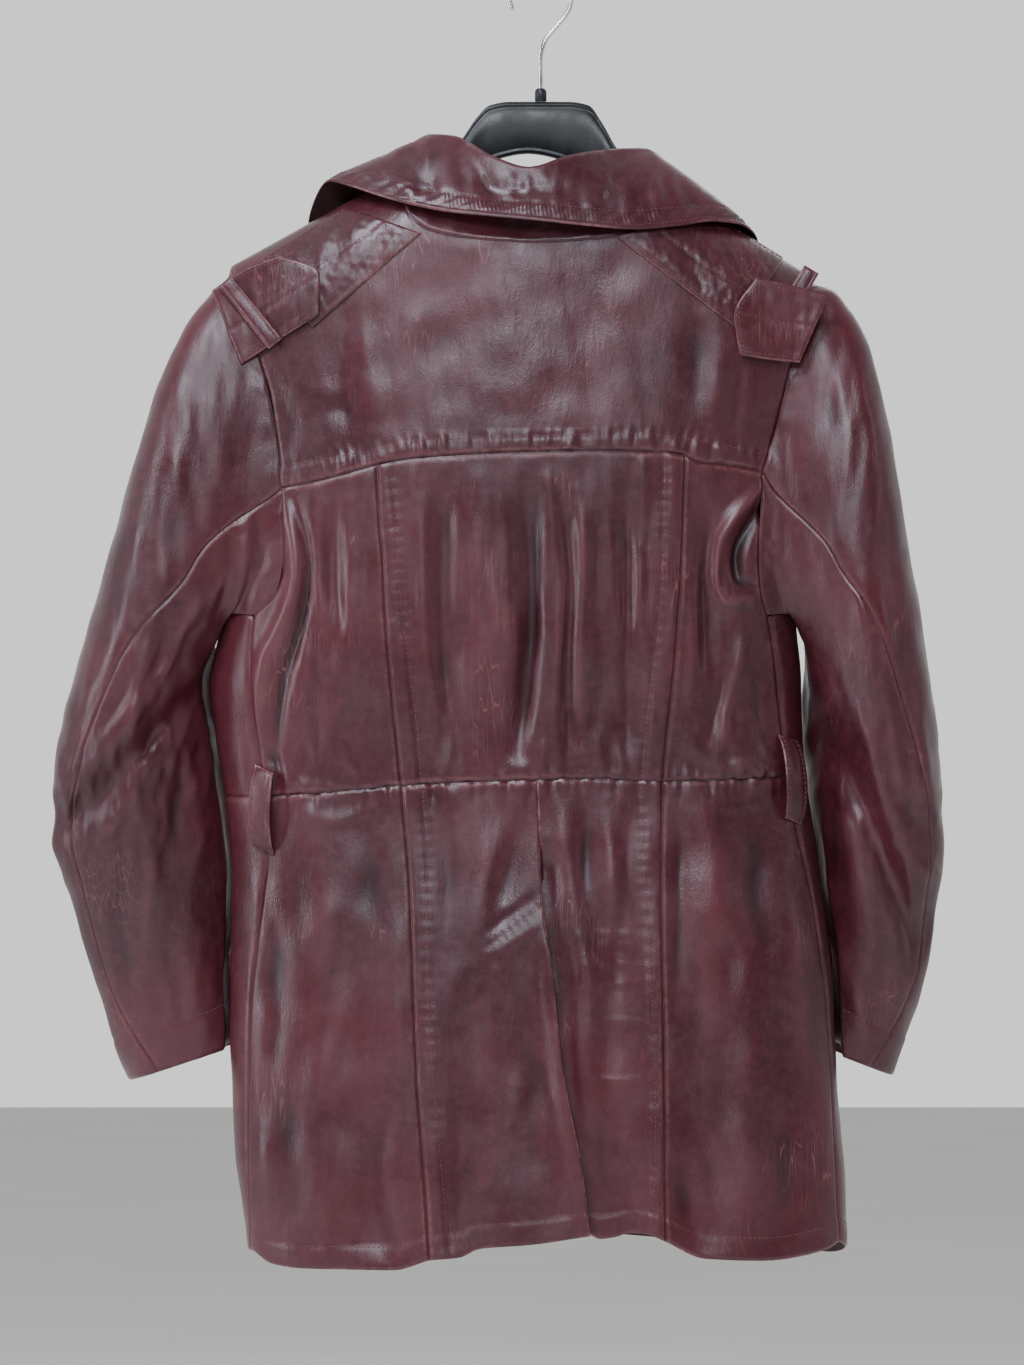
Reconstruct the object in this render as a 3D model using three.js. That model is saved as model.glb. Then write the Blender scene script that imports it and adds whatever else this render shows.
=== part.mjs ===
// A worn leather coat on its hanger, as thin leather panels round a hollow.
// Millimetres. +Z is up, the coat's back faces -Y, +X is the right as the back is seen.
// The origin is the inner top of the hanger's hook, where a rail holds it.
import * as THREE from 'three';

// Leather
const LEATHER = 1.6;
const SEAM_GAP = 0.3;
const LAID_CLEARANCE = 0.8;
const SEWN_CLEARANCE = 0.5;

// Body: outline of the back at each height, [height, place]
const LEFT_SIDE = [[-150, -242], [-217, -239], [-277, -227], [-343, -216], [-418, -220], [-474, -228],
  [-504, -234], [-539, -230], [-593, -222], [-640, -218], [-741, -219], [-831, -216], [-905, -206],
  [-925, -204]];
const RIGHT_SIDE = [[-150, 218], [-217, 215], [-286, 200], [-356, 180], [-457, 180], [-493, 183],
  [-560, 186], [-623, 195], [-651, 198], [-709, 206], [-767, 208], [-837, 214], [-905, 216], [-925, 217]];
const BACK_DEPTH = [[-150, 55], [-250, 60], [-350, 64], [-450, 62], [-575, 56], [-700, 66],
  [-905, 78], [-925, 79]];
const FRONT_DEPTH = [[-150, 50], [-250, 62], [-350, 68], [-450, 66], [-575, 58], [-700, 70],
  [-905, 82], [-925, 83]];
const BODY_SQUARENESS = 2.5;
const HALF_WIDTH = 210;

// Shoulders: two straight slopes from a peak above the neck
const PEAK_X = -5;
const PEAK_Z = -92;
const SLOPE_LEFT = 0.553;
const SLOPE_RIGHT = 0.64;
const SHOULDER_ROUNDING = 62;

// Seams of the back, [x, z]
const SHOULDER_POINT = { left: -219, right: 190 };
const NECK_POINT = { left: -99, right: 89 };
const BACK_NECK = [[-99, -144], [-97, -166], [-82, -186], [-50, -193], [-4, -196], [45, -193], [76, -186],
  [88, -170], [89, -152.2]];
const ARMHOLE_UPPER = {
  left: [[-219, -210.5], [-207, -250], [-198, -277], [-190, -305], [-185, -335], [-182, -368]],
  right: [[190, -216.8], [183, -255], [174, -288], [166, -320], [160, -342], [156, -356]],
};
const ARMHOLE_LOWER = {
  left: [[-182, -368], [-181, -397], [-181, -425], [-187, -443], [-202, -457]],
  right: [[156, -356], [154, -390], [153, -418], [155, -440], [160, -457]],
};
const YOKE_SEAM_LEFT = [[-182, -368], [-152, -362], [-115, -352]];
const YOKE_SEAM_MIDDLE = [[-115, -352], [-93, -348], [-57, -345], [-13, -343], [37, -342], [86, -343],
  [101, -345]];
const YOKE_SEAM_RIGHT = [[101, -345], [111, -350], [125, -351], [156, -356]];
const PRINCESS_LEFT = [[-115, -352], [-113, -395], [-111, -413], [-109, -456], [-104, -516], [-98, -576]];
const PRINCESS_RIGHT = [[101, -345], [99, -409], [94, -484], [88, -541], [85, -573]];
const SIDE_SEAM_UPPER = {
  left: [[-202, -457], [-204, -483], [-201, -525], [-197, -559], [-194, -584]],
  right: [[160, -457], [165, -493], [170, -542], [175, -570]],
};
const WAIST_LEFT = [[-194, -584], [-150, -581], [-98, -576]];
const WAIST_MIDDLE_LEFT = [[-98, -576], [-59, -574], [-3, -572]];
const WAIST_MIDDLE_RIGHT = [[-3, -572], [22, -571], [85, -573]];
const WAIST_RIGHT = [[85, -573], [128, -572], [175, -570]];
const SKIRT_STRIP_LEFT = [[-98, -576], [-92, -644], [-89, -730], [-87, -780], [-82, -845], [-78, -907]];
const SKIRT_STRIP_RIGHT = [[85, -573], [84, -644], [85, -715], [86, -782], [87, -894]];
const CENTRE_SEAM = [[-3, -572], [1, -658]];
const VENT_EDGE = [[1, -658], [8, -708], [15, -772], [29, -847], [34, -890]];
const SIDE_SEAM_LOWER = {
  left: [[-194, -584], [-192, -623], [-195, -650], [-200, -691], [-204, -730], [-206, -816], [-204, -903]],
  right: [[175, -570], [179, -602], [190, -651], [196, -690], [200, -720], [203, -767], [206, -837],
    [210, -897]],
};
const HEM_LEFT = [[-204, -903], [-188, -912], [-166, -914], [-104, -914], [-78, -907]];
const HEM_MIDDLE_LEFT = [[-78, -907], [-57, -905], [-43, -899], [-7, -896], [34, -890]];
const HEM_MIDDLE_RIGHT = [[34, -889], [43, -892], [52, -891], [62, -888], [74, -889], [87, -894]];
const HEM_RIGHT = [[87, -894], [115, -906], [158, -908], [200, -902], [210, -897]];
const VENT_UNDERLAP = 34;
const VENT_STEP = 3.4;

// Fronts, on the hidden side: [angle round the body in degrees, z], or [x, z] as seen from behind
const FRONT_ARMHOLE = {
  left: [[-82, -453], [-100, -440], [-113, -415], [-120, -380], [-122, -330], [-120, -270]],
  right: [[84, -453], [101, -440], [113, -415], [119, -380], [121, -330], [119, -270]],
};
const ROLL_LINE = {
  left: [[-99, -144], [-92, -178], [-70, -222], [-36, -280], [2, -330]],
  right: [[89, -152.2], [82, -182], [60, -226], [28, -280], [-12, -330]],
};
const CENTRE_FRONT_X = -5;
const FRONT_OVERLAP = 22;
const OVERLAP_STEP = 2.7;
const WAIST_FRONT_Z = -585;
const HEM_FRONT_Z = -893;
const LAPEL_TOP = { left: [-128, -222], right: [118, -226] };
const LAPEL_BELLY = { left: [-72, -285], right: [62, -288] };
const LAPEL_START = 0.22;
const LAPEL_END = 0.88;
const LAPEL_POINT_WIDTH = 8;

// Sleeves, by station from armhole to cuff: [outer x, outer z, inner x, inner z, middle's depth y,
// half depth, how far forward the inner edge lies of the middle]
const SLEEVE_STATIONS = {
  left: [
    [-219, -211, -212, -457, 0, 37, 0],
    [-241, -232, -217, -462, -6, 39, 0],
    [-261, -271, -222, -469, -10, 42, 2],
    [-286, -348, -227, -477, -12, 45, 8],
    [-308, -425, -231, -486, -11, 47, 18],
    [-326, -490, -231, -497, -9, 48, 28],
    [-343, -565, -227, -512, -5, 48, 34],
    [-344, -615, -222, -540, 5, 46, 30],
    [-333, -656, -218, -580, 16, 44, 20],
    [-321, -698, -213, -640, 28, 42, 10],
    [-307, -747, -208, -708, 38, 43, 4],
    [-293, -787, -203, -757, 46, 44, 0],
  ],
  right: [
    [190, -217, 168, -457, 0, 36, 0],
    [209, -223, 175, -462, -6, 39, 0],
    [226, -252, 181, -469, -10, 42, 2],
    [244, -320, 186, -477, -12, 45, 8],
    [258, -400, 187, -488, -11, 47, 18],
    [272, -485, 186, -502, -9, 48, 28],
    [282, -563, 184, -522, -5, 48, 34],
    [285, -620, 186, -552, 5, 46, 30],
    [280, -662, 189, -592, 16, 44, 22],
    [274, -708, 191, -648, 28, 42, 14],
    [262, -748, 190, -710, 38, 43, 6],
    [250, -783, 184, -757, 46, 44, 0],
  ],
};
const SLEEVE_BODY_CLEARANCE = 5;
const SLEEVE_ROUNDNESS = 0.9;
const ARMHOLE_STATIONS = 2.6;
const SLEEVE_CAP_FOOT = -310;
// The fold where the upper sleeve hangs over the lower one, seen from behind
const ELBOW_CREASE = {
  left: {
    line: [[-333, -595], [-301, -567], [-270, -534], [-236, -493], [-176, -437]],
    steepness: 0.7,
    ridge: 3,
    depth: 8,
  },
  right: {
    line: [[158, -449], [187, -509], [200, -525], [220, -558], [238, -607], [260, -666]],
    steepness: 0.45,
    ridge: 3,
    depth: 8,
  },
};
const SLEEVE_RINGS = 20;
const BACK_NODES_UPPER = 8;
const BACK_NODES_LOWER = 4;
const FRONT_NODES = 12;
const FRONT_SEAM_NODE = 7;
// Where the two sleeve seams run round the tube at each station, in degrees from the outer edge
const BACK_SLEEVE_SEAM = [[0, 118], [3, 104], [5, 70], [7, 40], [9, 34], [11, 62]];
const FRONT_SLEEVE_SEAM = [[0, 232], [3, 236], [6, 240], [11, 244]];

// Collar: its roll line and its lower edge, from the front left round the neck to the front right
const COLLAR_ROLL = [[-76, 52, -205], [-88, 30, -165], [-87, 4, -130], [-77, -18, -117], [-60, -25, -119],
  [-35, -27, -134], [-8, -28, -143], [20, -27, -134], [50, -25, -128], [73, -18, -127], [86, 4, -139],
  [84, 32, -170], [70, 54, -208]];
const COLLAR_EDGE = [[-124, 62, -238], [-160, 38, -203], [-165, 16, -181], [-159, -2, -160],
  [-150, -15, -150], [-134, -32, -155], [-113, -47, -163], [-93, -58, -169], [-64, -67, -175],
  [-36, -71, -178], [-4, -73, -181], [34, -71, -185], [63, -66, -187], [97, -55, -184], [122, -42, -180],
  [139, -28, -181], [151, -12, -187], [154, 10, -192], [150, 34, -208], [116, 64, -242]];
const COLLAR_BULGE = 6;
const COLLAR_OFF_BACK = 3;
const COLLAR_OFF_FRONT = 6;
const STAND_INSET = 0.985;
const STAND_DROP = 2.2;
const NECK_GAP = 0.9;

// Shoulder straps, [x, z] corners: neck end upper, neck end lower, outer end lower, outer end upper
const EPAULETTE = {
  left: [[-137, -171], [-84, -190], [-160, -256], [-196, -207]],
  right: [[116, -173], [52, -192], [139, -258], [170, -206]],
};
const TAB = {
  left: {
    tip: [-155, -217],
    upper: [[-183, -205], [-207, -214], [-231, -229]],
    lower: [[-155, -247], [-185, -265], [-210, -281]],
  },
  right: {
    tip: [135, -247],
    upper: [[150, -221], [176, -226], [202, -232]],
    lower: [[139, -275], [160, -278], [181, -280]],
  },
};
const LOOP = {
  left: { from: [-221, -223], to: [-186, -267], width: 12 },
  right: { from: [190, -214], to: [158, -268], width: 12 },
};
const STRAP_LIFT = 2.3;
const STRAP_CLEARANCE = 1.2;
const FREE_TAB_CLEARANCE = 2.4;
const TAUT_START = 60;
const TAUT_PASSES = 60;

// Belt loops: [x, z] of the middle of the top and of the foot
const BELT_LOOP = {
  left: { top: [-194, -564], foot: [-194, -622], width: 27 },
  right: { top: [173, -543], foot: [177, -602], width: 35 },
};
const BELT_LOOP_RISE = 9.5;

// Pocket welts: top and foot, [angle round the body in degrees, z]
const POCKET = {
  left: { top: [-130, -636], foot: [-94, -706], width: 24 },
  right: { top: [128, -636], foot: [93, -704], width: 24 },
};
const BUTTON_HEIGHTS = [-352, -432, -512, -610];
const BUTTON_RADIUS = 10;
const BUTTON_THICKNESS = 3.2;
const BUTTON_CLEARANCE = 0.6;

// Hanger
const HANGER_TOP = [[-206, -210.5], [-99, -151], [-75, -138], [-57, -122], [-45, -105], [-36, -96.5],
  [-22, -94], [20, -94], [34, -96.5], [43, -108], [54, -127], [72, -145], [89, -158], [176, -215]];
const HANGER_UNDERSIDE = [[-206, -225], [-150, -205], [-99, -178], [-57, -152], [-31, -135], [-9, -131],
  [13, -135], [40, -150], [89, -182], [176, -227]];
const HANGER_HALF_DEPTH = [[-206, 13], [-180, 16], [-99, 16], [-57, 11], [-36, 8], [34, 8], [54, 11],
  [89, 16], [155, 16], [176, 13]];
const WIRE_RADIUS = 1.75;
const HOOK_RADIUS = 21.75;
const SOCKET_RADIUS = 4.2;
const SOCKET_HEIGHT = 9;
const HANGER_TOP_HEIGHT = -94;
const HOOK_START = -38;
const HOOK_END = 205;
const HOOK_ARC_POINTS = 12;

const LEATHER_LOOK = { color: 0x5a2129, roughness: 0.42, metalness: 0 };
const HANGER_LOOK = { color: 0x15161a, roughness: 0.35, metalness: 0 };
const STEEL_LOOK = { color: 0xb9bcc0, roughness: 0.25, metalness: 1 };
const BUTTON_LOOK = { color: 0x2a1517, roughness: 0.35, metalness: 0 };

const SIDES = ['left', 'right'];
const SIGN = { left: -1, right: 1 };
const radians = THREE.MathUtils.degToRad;
const mix = THREE.MathUtils.lerp;
const ease = THREE.MathUtils.smoothstep;

// A smooth curve through [place, value] pairs that doesn't swing past them
function profile(points) {
  const rising = points[0][0] < points[points.length - 1][0];
  const places = points.map((point) => (rising ? point[0] : -point[0]));
  const values = points.map((point) => point[1]);
  const last = points.length - 1;
  const steps = places.slice(1).map((place, i) => place - places[i]);
  const slopes = steps.map((step, i) => (values[i + 1] - values[i]) / step);
  const tangents = values.map((_, i) => {
    if (i === 0) return slopes[0];
    if (i === last) return slopes[last - 1];
    if (slopes[i - 1] * slopes[i] <= 0) return 0;
    return 2 * slopes[i - 1] * slopes[i] / (slopes[i - 1] + slopes[i]);
  });
  return (at) => {
    const place = THREE.MathUtils.clamp(rising ? at : -at, places[0], places[last]);
    let i = 0;
    while (i < last - 1 && place > places[i + 1]) i += 1;
    const t = (place - places[i]) / steps[i];
    const rise = steps[i] * (tangents[i] * t * (1 - t) ** 2 - tangents[i + 1] * t * t * (1 - t));
    return values[i] + (values[i + 1] - values[i]) * t * t * (3 - 2 * t) + rise;
  };
}

// A smooth path through points of any dimension, by share of its length
function path(points) {
  const lengths = [0];
  for (let i = 1; i < points.length; i += 1) {
    const step = Math.hypot(...points[i].map((value, k) => value - points[i - 1][k]));
    lengths.push(lengths[i - 1] + step);
  }
  const total = lengths[lengths.length - 1];
  const axes = points[0].map((_, k) => profile(points.map((point, i) => [lengths[i] / total, point[k]])));
  return (share) => axes.map((axis) => axis(share));
}

function sample(points, count, share = (t) => t) {
  const along = path(points);
  return Array.from({ length: count + 1 }, (_, i) => along(share(i / count)));
}

// The same for [angle, z] points, with angles as lengths round the body
function sampleRound(points, count, share = (t) => t) {
  const lengths = points.map(([angle, z]) => [angle * HALF_WIDTH, z]);
  return sample(lengths, count, share).map(([round, z]) => [round / HALF_WIDTH, z]);
}

function join(...lists) {
  return lists.reduce((all, list) => [...all, ...list.slice(1)]);
}

// Body surface
const leftSide = profile(LEFT_SIDE);
const rightSide = profile(RIGHT_SIDE);
const backDepth = profile(BACK_DEPTH);
const frontDepth = profile(FRONT_DEPTH);

function shoulderHeight(x) {
  return PEAK_Z - (x < PEAK_X ? SLOPE_LEFT : SLOPE_RIGHT) * Math.abs(x - PEAK_X);
}

function shoulderRounding(x, z) {
  const below = THREE.MathUtils.clamp((shoulderHeight(x) - z) / SHOULDER_ROUNDING, 0, 1);
  return Math.sqrt(1 - (1 - below) ** 2);
}

// A soft trough that runs down the back: centre line, top, foot, half width and depth
function trough(x, z, [line, top, foot, halfWidth, depth]) {
  const across = (x - line(z)) / halfWidth;
  const along = ease(top - z, 0, 40) * ease(z - foot, 0, 40);
  return -depth * along * Math.exp(-across * across);
}

const BACK_FOLDS = [
  [profile([[-350, -70], [-470, -66], [-575, -58]]), -352, -570, 9, 4],
  [profile([[-350, -14], [-470, -8], [-575, -20]]), -356, -566, 9, 6.5],
  [profile([[-350, 14], [-470, 20], [-575, 26]]), -358, -560, 8, 3],
  [profile([[-350, 62], [-470, 58], [-575, 60]]), -352, -568, 9, 4],
  [profile([[-350, 118], [-470, 122], [-575, 130]]), -362, -560, 10, 5],
  [profile([[-350, -140], [-470, -150], [-575, -160]]), -376, -566, 11, 4],
  [profile([[-575, -140], [-740, -134], [-915, -112]]), -660, -930, 20, 5],
  [profile([[-575, -40], [-740, -44], [-915, -46]]), -700, -930, 16, 5],
  [profile([[-575, 48], [-740, 52], [-915, 58]]), -640, -930, 14, 6],
  [profile([[-575, 128], [-740, 120], [-915, 110]]), -660, -930, 20, 5],
];
const FRONT_FOLDS = [
  [profile([[-350, -80], [-575, -96]]), -400, -570, 14, 5],
  [profile([[-350, 76], [-575, 90]]), -400, -570, 14, 5],
  [profile([[-575, -90], [-915, -112]]), -680, -930, 22, 6],
  [profile([[-575, 84], [-915, 104]]), -680, -930, 22, 6],
];

// A point of the leather's outer face: 0 is the centre back, 90 the right side, 180 the centre front
function bodyPoint(angle, z) {
  const left = leftSide(z);
  const right = rightSide(z);
  const across = Math.sin(angle);
  const x = (left + right) / 2 + (right - left) / 2 * across;
  const back = Math.cos(angle) >= 0;
  const section = (1 - Math.abs(across) ** BODY_SQUARENESS) ** (1 / BODY_SQUARENESS);
  const folds = (back ? BACK_FOLDS : FRONT_FOLDS).reduce((sum, fold) => sum + trough(x, z, fold), 0);
  const depth = (back ? backDepth(z) : frontDepth(z)) + folds;
  return new THREE.Vector3(x, (back ? -1 : 1) * depth * section * shoulderRounding(x, z), z);
}

function bodyNormal(angle, z) {
  const round = bodyPoint(angle + 0.02, z).sub(bodyPoint(angle - 0.02, z));
  const up = bodyPoint(angle, z + 0.04).sub(bodyPoint(angle, z - 0.04));
  return round.cross(up).normalize();
}

function bodyAngle(x, z) {
  const left = leftSide(z);
  const right = rightSide(z);
  return Math.asin(THREE.MathUtils.clamp((2 * x - left - right) / (right - left), -1, 1));
}

const onBack = ([x, z]) => [bodyAngle(x, z), z];
const onFront = (side) => ([x, z]) => [SIGN[side] * Math.PI - bodyAngle(x, z), z];

// The share of a row's length at each of its [angle, z] points
function shares(row) {
  const lengths = [0];
  for (let i = 1; i < row.length; i += 1) {
    const step = Math.hypot((row[i][0] - row[i - 1][0]) * HALF_WIDTH, row[i][1] - row[i - 1][1]);
    lengths.push(lengths[i - 1] + step);
  }
  return lengths.map((length) => length / lengths[lengths.length - 1]);
}

// A patch between four rows of [angle, z] points, which share their corners
function patch(top, foot, left, right) {
  const last = top.length - 1;
  const across = [shares(top), shares(foot)];
  const down = [shares(left), shares(right)];
  return left.map((leftPoint, j) => top.map((topPoint, i) => {
    const u = mix(across[0][i], across[1][i], j / (left.length - 1));
    const v = mix(down[0][j], down[1][j], i / last);
    return topPoint.map((_, k) => {
      const sides = mix(leftPoint[k], right[j][k], u);
      const ends = mix(topPoint[k], foot[i][k], v);
      const corners = mix(mix(top[0][k], top[last][k], u), mix(foot[0][k], foot[last][k], u), v);
      return sides + ends - corners;
    });
  }));
}

// Each border point moves half a seam gap towards the inside of its piece
function trimmed(grid, gap = SEAM_GAP / 2) {
  const rows = grid.length - 1;
  const cols = grid[0].length - 1;
  const inwards = (i, last) => (i === 0 ? 1 : i === last ? -1 : 0);
  return grid.map((row, j) => row.map((point, i) => {
    const moved = point.clone();
    const across = inwards(i, cols);
    const along = inwards(j, rows);
    if (across) moved.addScaledVector(row[i + across].clone().sub(point).normalize(), gap);
    if (along) moved.addScaledVector(grid[j + along][i].clone().sub(point).normalize(), gap);
    return moved;
  }));
}

// A closed thin solid between an outer and an inner grid of points
function solid(outer, inner) {
  const rows = outer.length;
  const cols = outer[0].length;
  const positions = [...outer.flat(), ...inner.flat()].flatMap((point) => [point.x, point.y, point.z]);
  const at = (layer, j, i) => layer * rows * cols + j * cols + i;
  const faces = [];
  const quad = (a, b, c, d) => faces.push(a, b, c, a, c, d);
  for (let j = 0; j < rows - 1; j += 1) {
    for (let i = 0; i < cols - 1; i += 1) {
      quad(at(0, j, i), at(0, j + 1, i), at(0, j + 1, i + 1), at(0, j, i + 1));
      quad(at(1, j, i), at(1, j, i + 1), at(1, j + 1, i + 1), at(1, j + 1, i));
    }
    quad(at(0, j, 0), at(1, j, 0), at(1, j + 1, 0), at(0, j + 1, 0));
    quad(at(0, j, cols - 1), at(0, j + 1, cols - 1), at(1, j + 1, cols - 1), at(1, j, cols - 1));
  }
  for (let i = 0; i < cols - 1; i += 1) {
    quad(at(0, 0, i), at(0, 0, i + 1), at(1, 0, i + 1), at(1, 0, i));
    quad(at(0, rows - 1, i), at(1, rows - 1, i), at(1, rows - 1, i + 1), at(0, rows - 1, i + 1));
  }
  const geometry = new THREE.BufferGeometry();
  geometry.setAttribute('position', new THREE.Float32BufferAttribute(positions, 3));
  geometry.setIndex(faces);
  geometry.computeVertexNormals();
  return geometry;
}

// Normals of a grid of points, by its neighbours, on the side that the body's outer face is
function gridNormals(grid) {
  const rows = grid.length - 1;
  const cols = grid[0].length - 1;
  return grid.map((row, j) => row.map((_, i) => {
    const across = row[Math.min(i + 1, cols)].clone().sub(row[Math.max(i - 1, 0)]);
    const down = grid[Math.min(j + 1, rows)][i].clone().sub(grid[Math.max(j - 1, 0)][i]);
    return down.cross(across).normalize();
  }));
}

function offset(grid, normals, distance) {
  return grid.map((row, j) => row.map((point, i) => point.clone().addScaledVector(normals[j][i], distance)));
}

const coat = new THREE.Group();

function piece(name, geometry, look = LEATHER_LOOK) {
  const mesh = new THREE.Mesh(geometry, new THREE.MeshStandardMaterial(look));
  mesh.name = name;
  coat.add(mesh);
  return mesh;
}

// A panel of the body, from a patch of [angle, z] points, moved out by a lift
function bodyPanel(name, places, lift = () => 0) {
  const normals = places.map((row) => row.map(([angle, z]) => bodyNormal(angle, z)));
  const outer = places.map((row, j) => row.map(([angle, z], i) => {
    return bodyPoint(angle, z).addScaledVector(normals[j][i], lift(angle, z));
  }));
  return piece(name, solid(trimmed(outer), trimmed(offset(outer, normals, -LEATHER))));
}

// Back and yoke
const SHOULDER_COLS = 7;
const NECK_COLS = 10;
const SIDE_COLS = 5;
const MIDDLE_COLS = 14;
const SIDE_SEAM_ROWS = 8;
const SKIRT_ROWS = 12;
const HALF_COLS = MIDDLE_COLS / 2;
const closerAtTop = (t) => t ** 1.5;
const closerAtEnd = (t) => 1 - (1 - t) ** 1.25;

const shoulderLine = (side) => {
  const ends = [SHOULDER_POINT[side], NECK_POINT[side]].map((x) => [x, shoulderHeight(x)]);
  return sample(ends, SHOULDER_COLS);
};
const neckPlaces = sample(BACK_NECK, NECK_COLS).map(onBack);
const shoulderPlaces = (side) => shoulderLine(side).map(onBack);
const yokeTop = join(shoulderPlaces('left'), neckPlaces, shoulderPlaces('right').reverse());
const yokeFootLeft = sample(YOKE_SEAM_LEFT, SIDE_COLS).map(onBack);
const yokeFootMiddle = sample(YOKE_SEAM_MIDDLE, MIDDLE_COLS).map(onBack);
const yokeFootRight = sample(YOKE_SEAM_RIGHT, SIDE_COLS).map(onBack);
const armholeUpper = {};
const armholeLower = {};
const sideSeamUpper = {};
const sideSeamLower = {};
for (const side of SIDES) {
  armholeUpper[side] = sample(ARMHOLE_UPPER[side], BACK_NODES_UPPER, closerAtTop).map(onBack);
  armholeLower[side] = sample(ARMHOLE_LOWER[side], BACK_NODES_LOWER).map(onBack);
  sideSeamUpper[side] = sample(SIDE_SEAM_UPPER[side], SIDE_SEAM_ROWS).map(onBack);
  sideSeamLower[side] = sample(SIDE_SEAM_LOWER[side], SKIRT_ROWS).map(onBack);
}
const backEdge = (side) => join(armholeLower[side], sideSeamUpper[side]);
const backRows = BACK_NODES_LOWER + SIDE_SEAM_ROWS;
const princessLeft = sample(PRINCESS_LEFT, backRows).map(onBack);
const princessRight = sample(PRINCESS_RIGHT, backRows).map(onBack);
const waistLeft = sample(WAIST_LEFT, SIDE_COLS).map(onBack);
const waistMiddleLeft = sample(WAIST_MIDDLE_LEFT, HALF_COLS).map(onBack);
const waistMiddleRight = sample(WAIST_MIDDLE_RIGHT, HALF_COLS).map(onBack);
const waistRight = sample(WAIST_RIGHT, SIDE_COLS).map(onBack);

const yokeFoot = join(yokeFootLeft, yokeFootMiddle, yokeFootRight);
bodyPanel('back_yoke', patch(yokeTop, yokeFoot, armholeUpper.left, armholeUpper.right));
bodyPanel('back_side_left', patch(yokeFootLeft, waistLeft, backEdge('left'), princessLeft));
const waistMiddle = join(waistMiddleLeft, waistMiddleRight);
bodyPanel('back_centre', patch(yokeFootMiddle, waistMiddle, princessLeft, princessRight));
bodyPanel('back_side_right', patch(yokeFootRight, waistRight, princessRight, backEdge('right')));

// Back of the skirt: the left half is the vent's flap, the right half runs under it
const CENTRE_ROWS = 4;
const centrePlaces = join(sample(CENTRE_SEAM, CENTRE_ROWS), sample(VENT_EDGE, SKIRT_ROWS - CENTRE_ROWS));
const centreLine = centrePlaces.map(onBack);
const stripLeft = sample(SKIRT_STRIP_LEFT, SKIRT_ROWS).map(onBack);
const stripRight = sample(SKIRT_STRIP_RIGHT, SKIRT_ROWS).map(onBack);
const hemLeft = sample(HEM_LEFT, SIDE_COLS).map(onBack);
const hemMiddleLeft = sample(HEM_MIDDLE_LEFT, HALF_COLS).map(onBack);
const hemRight = sample(HEM_RIGHT, SIDE_COLS).map(onBack);
bodyPanel('skirt_side_left', patch(waistLeft, hemLeft, sideSeamLower.left, stripLeft));
bodyPanel('skirt_back_left', patch(waistMiddleLeft, hemMiddleLeft, stripLeft, centreLine));

const ventTop = CENTRE_SEAM[CENTRE_SEAM.length - 1][1];
const ventStart = profile(join(CENTRE_SEAM, VENT_EDGE).map(([x, z]) => [z, x]));
const underlapPlaces = centrePlaces.map(([x, z]) => [x - VENT_UNDERLAP * ease(ventTop - z, -18, 16), z]);
const underlapLine = underlapPlaces.map(onBack);
const underlapFoot = sample([underlapPlaces[SKIRT_ROWS], ...HEM_MIDDLE_RIGHT], HALF_COLS).map(onBack);
const underlapPatch = patch(waistMiddleRight, underlapFoot, underlapLine, stripRight);
bodyPanel('skirt_back_right', underlapPatch, (angle, z) => {
  const { x } = bodyPoint(angle, z);
  const under = 1 - ease(x - ventStart(z), 1, 16);
  return -VENT_STEP * under * ease(ventTop - z, -46, -24);
});
bodyPanel('skirt_side_right', patch(waistRight, hemRight, stripRight, sideSeamLower.right));

// Fronts, with the right one over the left
const ROLL_ROWS = 12;
const EDGE_ROWS = 8;
const FRONT_COLS = 9;
const frontArmhole = {};
for (const side of SIDES) {
  const start = armholeLower[side][BACK_NODES_LOWER];
  const end = onFront(side)([SHOULDER_POINT[side], shoulderHeight(SHOULDER_POINT[side])]);
  const middle = FRONT_ARMHOLE[side].map(([degrees, z]) => [radians(degrees), z]);
  frontArmhole[side] = sampleRound([start, ...middle, end], FRONT_NODES, closerAtEnd);
}

// How far the right front lies outside the left one, near the centre front
function overlapLift(side) {
  if (side === 'left') return () => 0;
  return (angle, z) => {
    const { x } = bodyPoint(angle, z);
    return OVERLAP_STEP * (1 - ease(x - CENTRE_FRONT_X, FRONT_OVERLAP, FRONT_OVERLAP + 24));
  };
}

for (const side of SIDES) {
  const edgeX = CENTRE_FRONT_X - SIGN[side] * FRONT_OVERLAP;
  const front = onFront(side);
  const roll = sample(ROLL_LINE[side], ROLL_ROWS, closerAtTop);
  const breakPoint = roll[ROLL_ROWS];
  const edge = sample([breakPoint, [edgeX, breakPoint[1] - 26], [edgeX, WAIST_FRONT_Z]], EDGE_ROWS);
  const centre = join(roll, edge).map(front);
  const shoulder = shoulderLine(side);
  const top = sample([shoulder[0], shoulder[SHOULDER_COLS]], FRONT_COLS).map(front);
  const outerEdge = join([...frontArmhole[side]].reverse(), sideSeamUpper[side]);
  const sideFoot = sideSeamUpper[side][SIDE_SEAM_ROWS];
  const waist = sampleRound([sideFoot, centre[centre.length - 1]], FRONT_COLS);
  const hemSide = sideSeamLower[side][SKIRT_ROWS];
  const hemEdge = front([edgeX, HEM_FRONT_Z]);
  const hem = sampleRound([hemSide, [mix(hemSide[0], hemEdge[0], 0.3), -908], hemEdge], FRONT_COLS);
  const skirtCentre = sample([[edgeX, WAIST_FRONT_Z], [edgeX, HEM_FRONT_Z]], SKIRT_ROWS).map(front);
  const flip = (rows) => (side === 'left' ? rows.map((row) => [...row].reverse()) : rows);
  const upper = patch(top, waist, outerEdge, centre);
  const lower = patch(waist, hem, sideSeamLower[side], skirtCentre);
  bodyPanel(`front_${side}`, flip(upper), overlapLift(side));
  bodyPanel(`front_skirt_${side}`, flip(lower), overlapLift(side));
}

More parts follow.
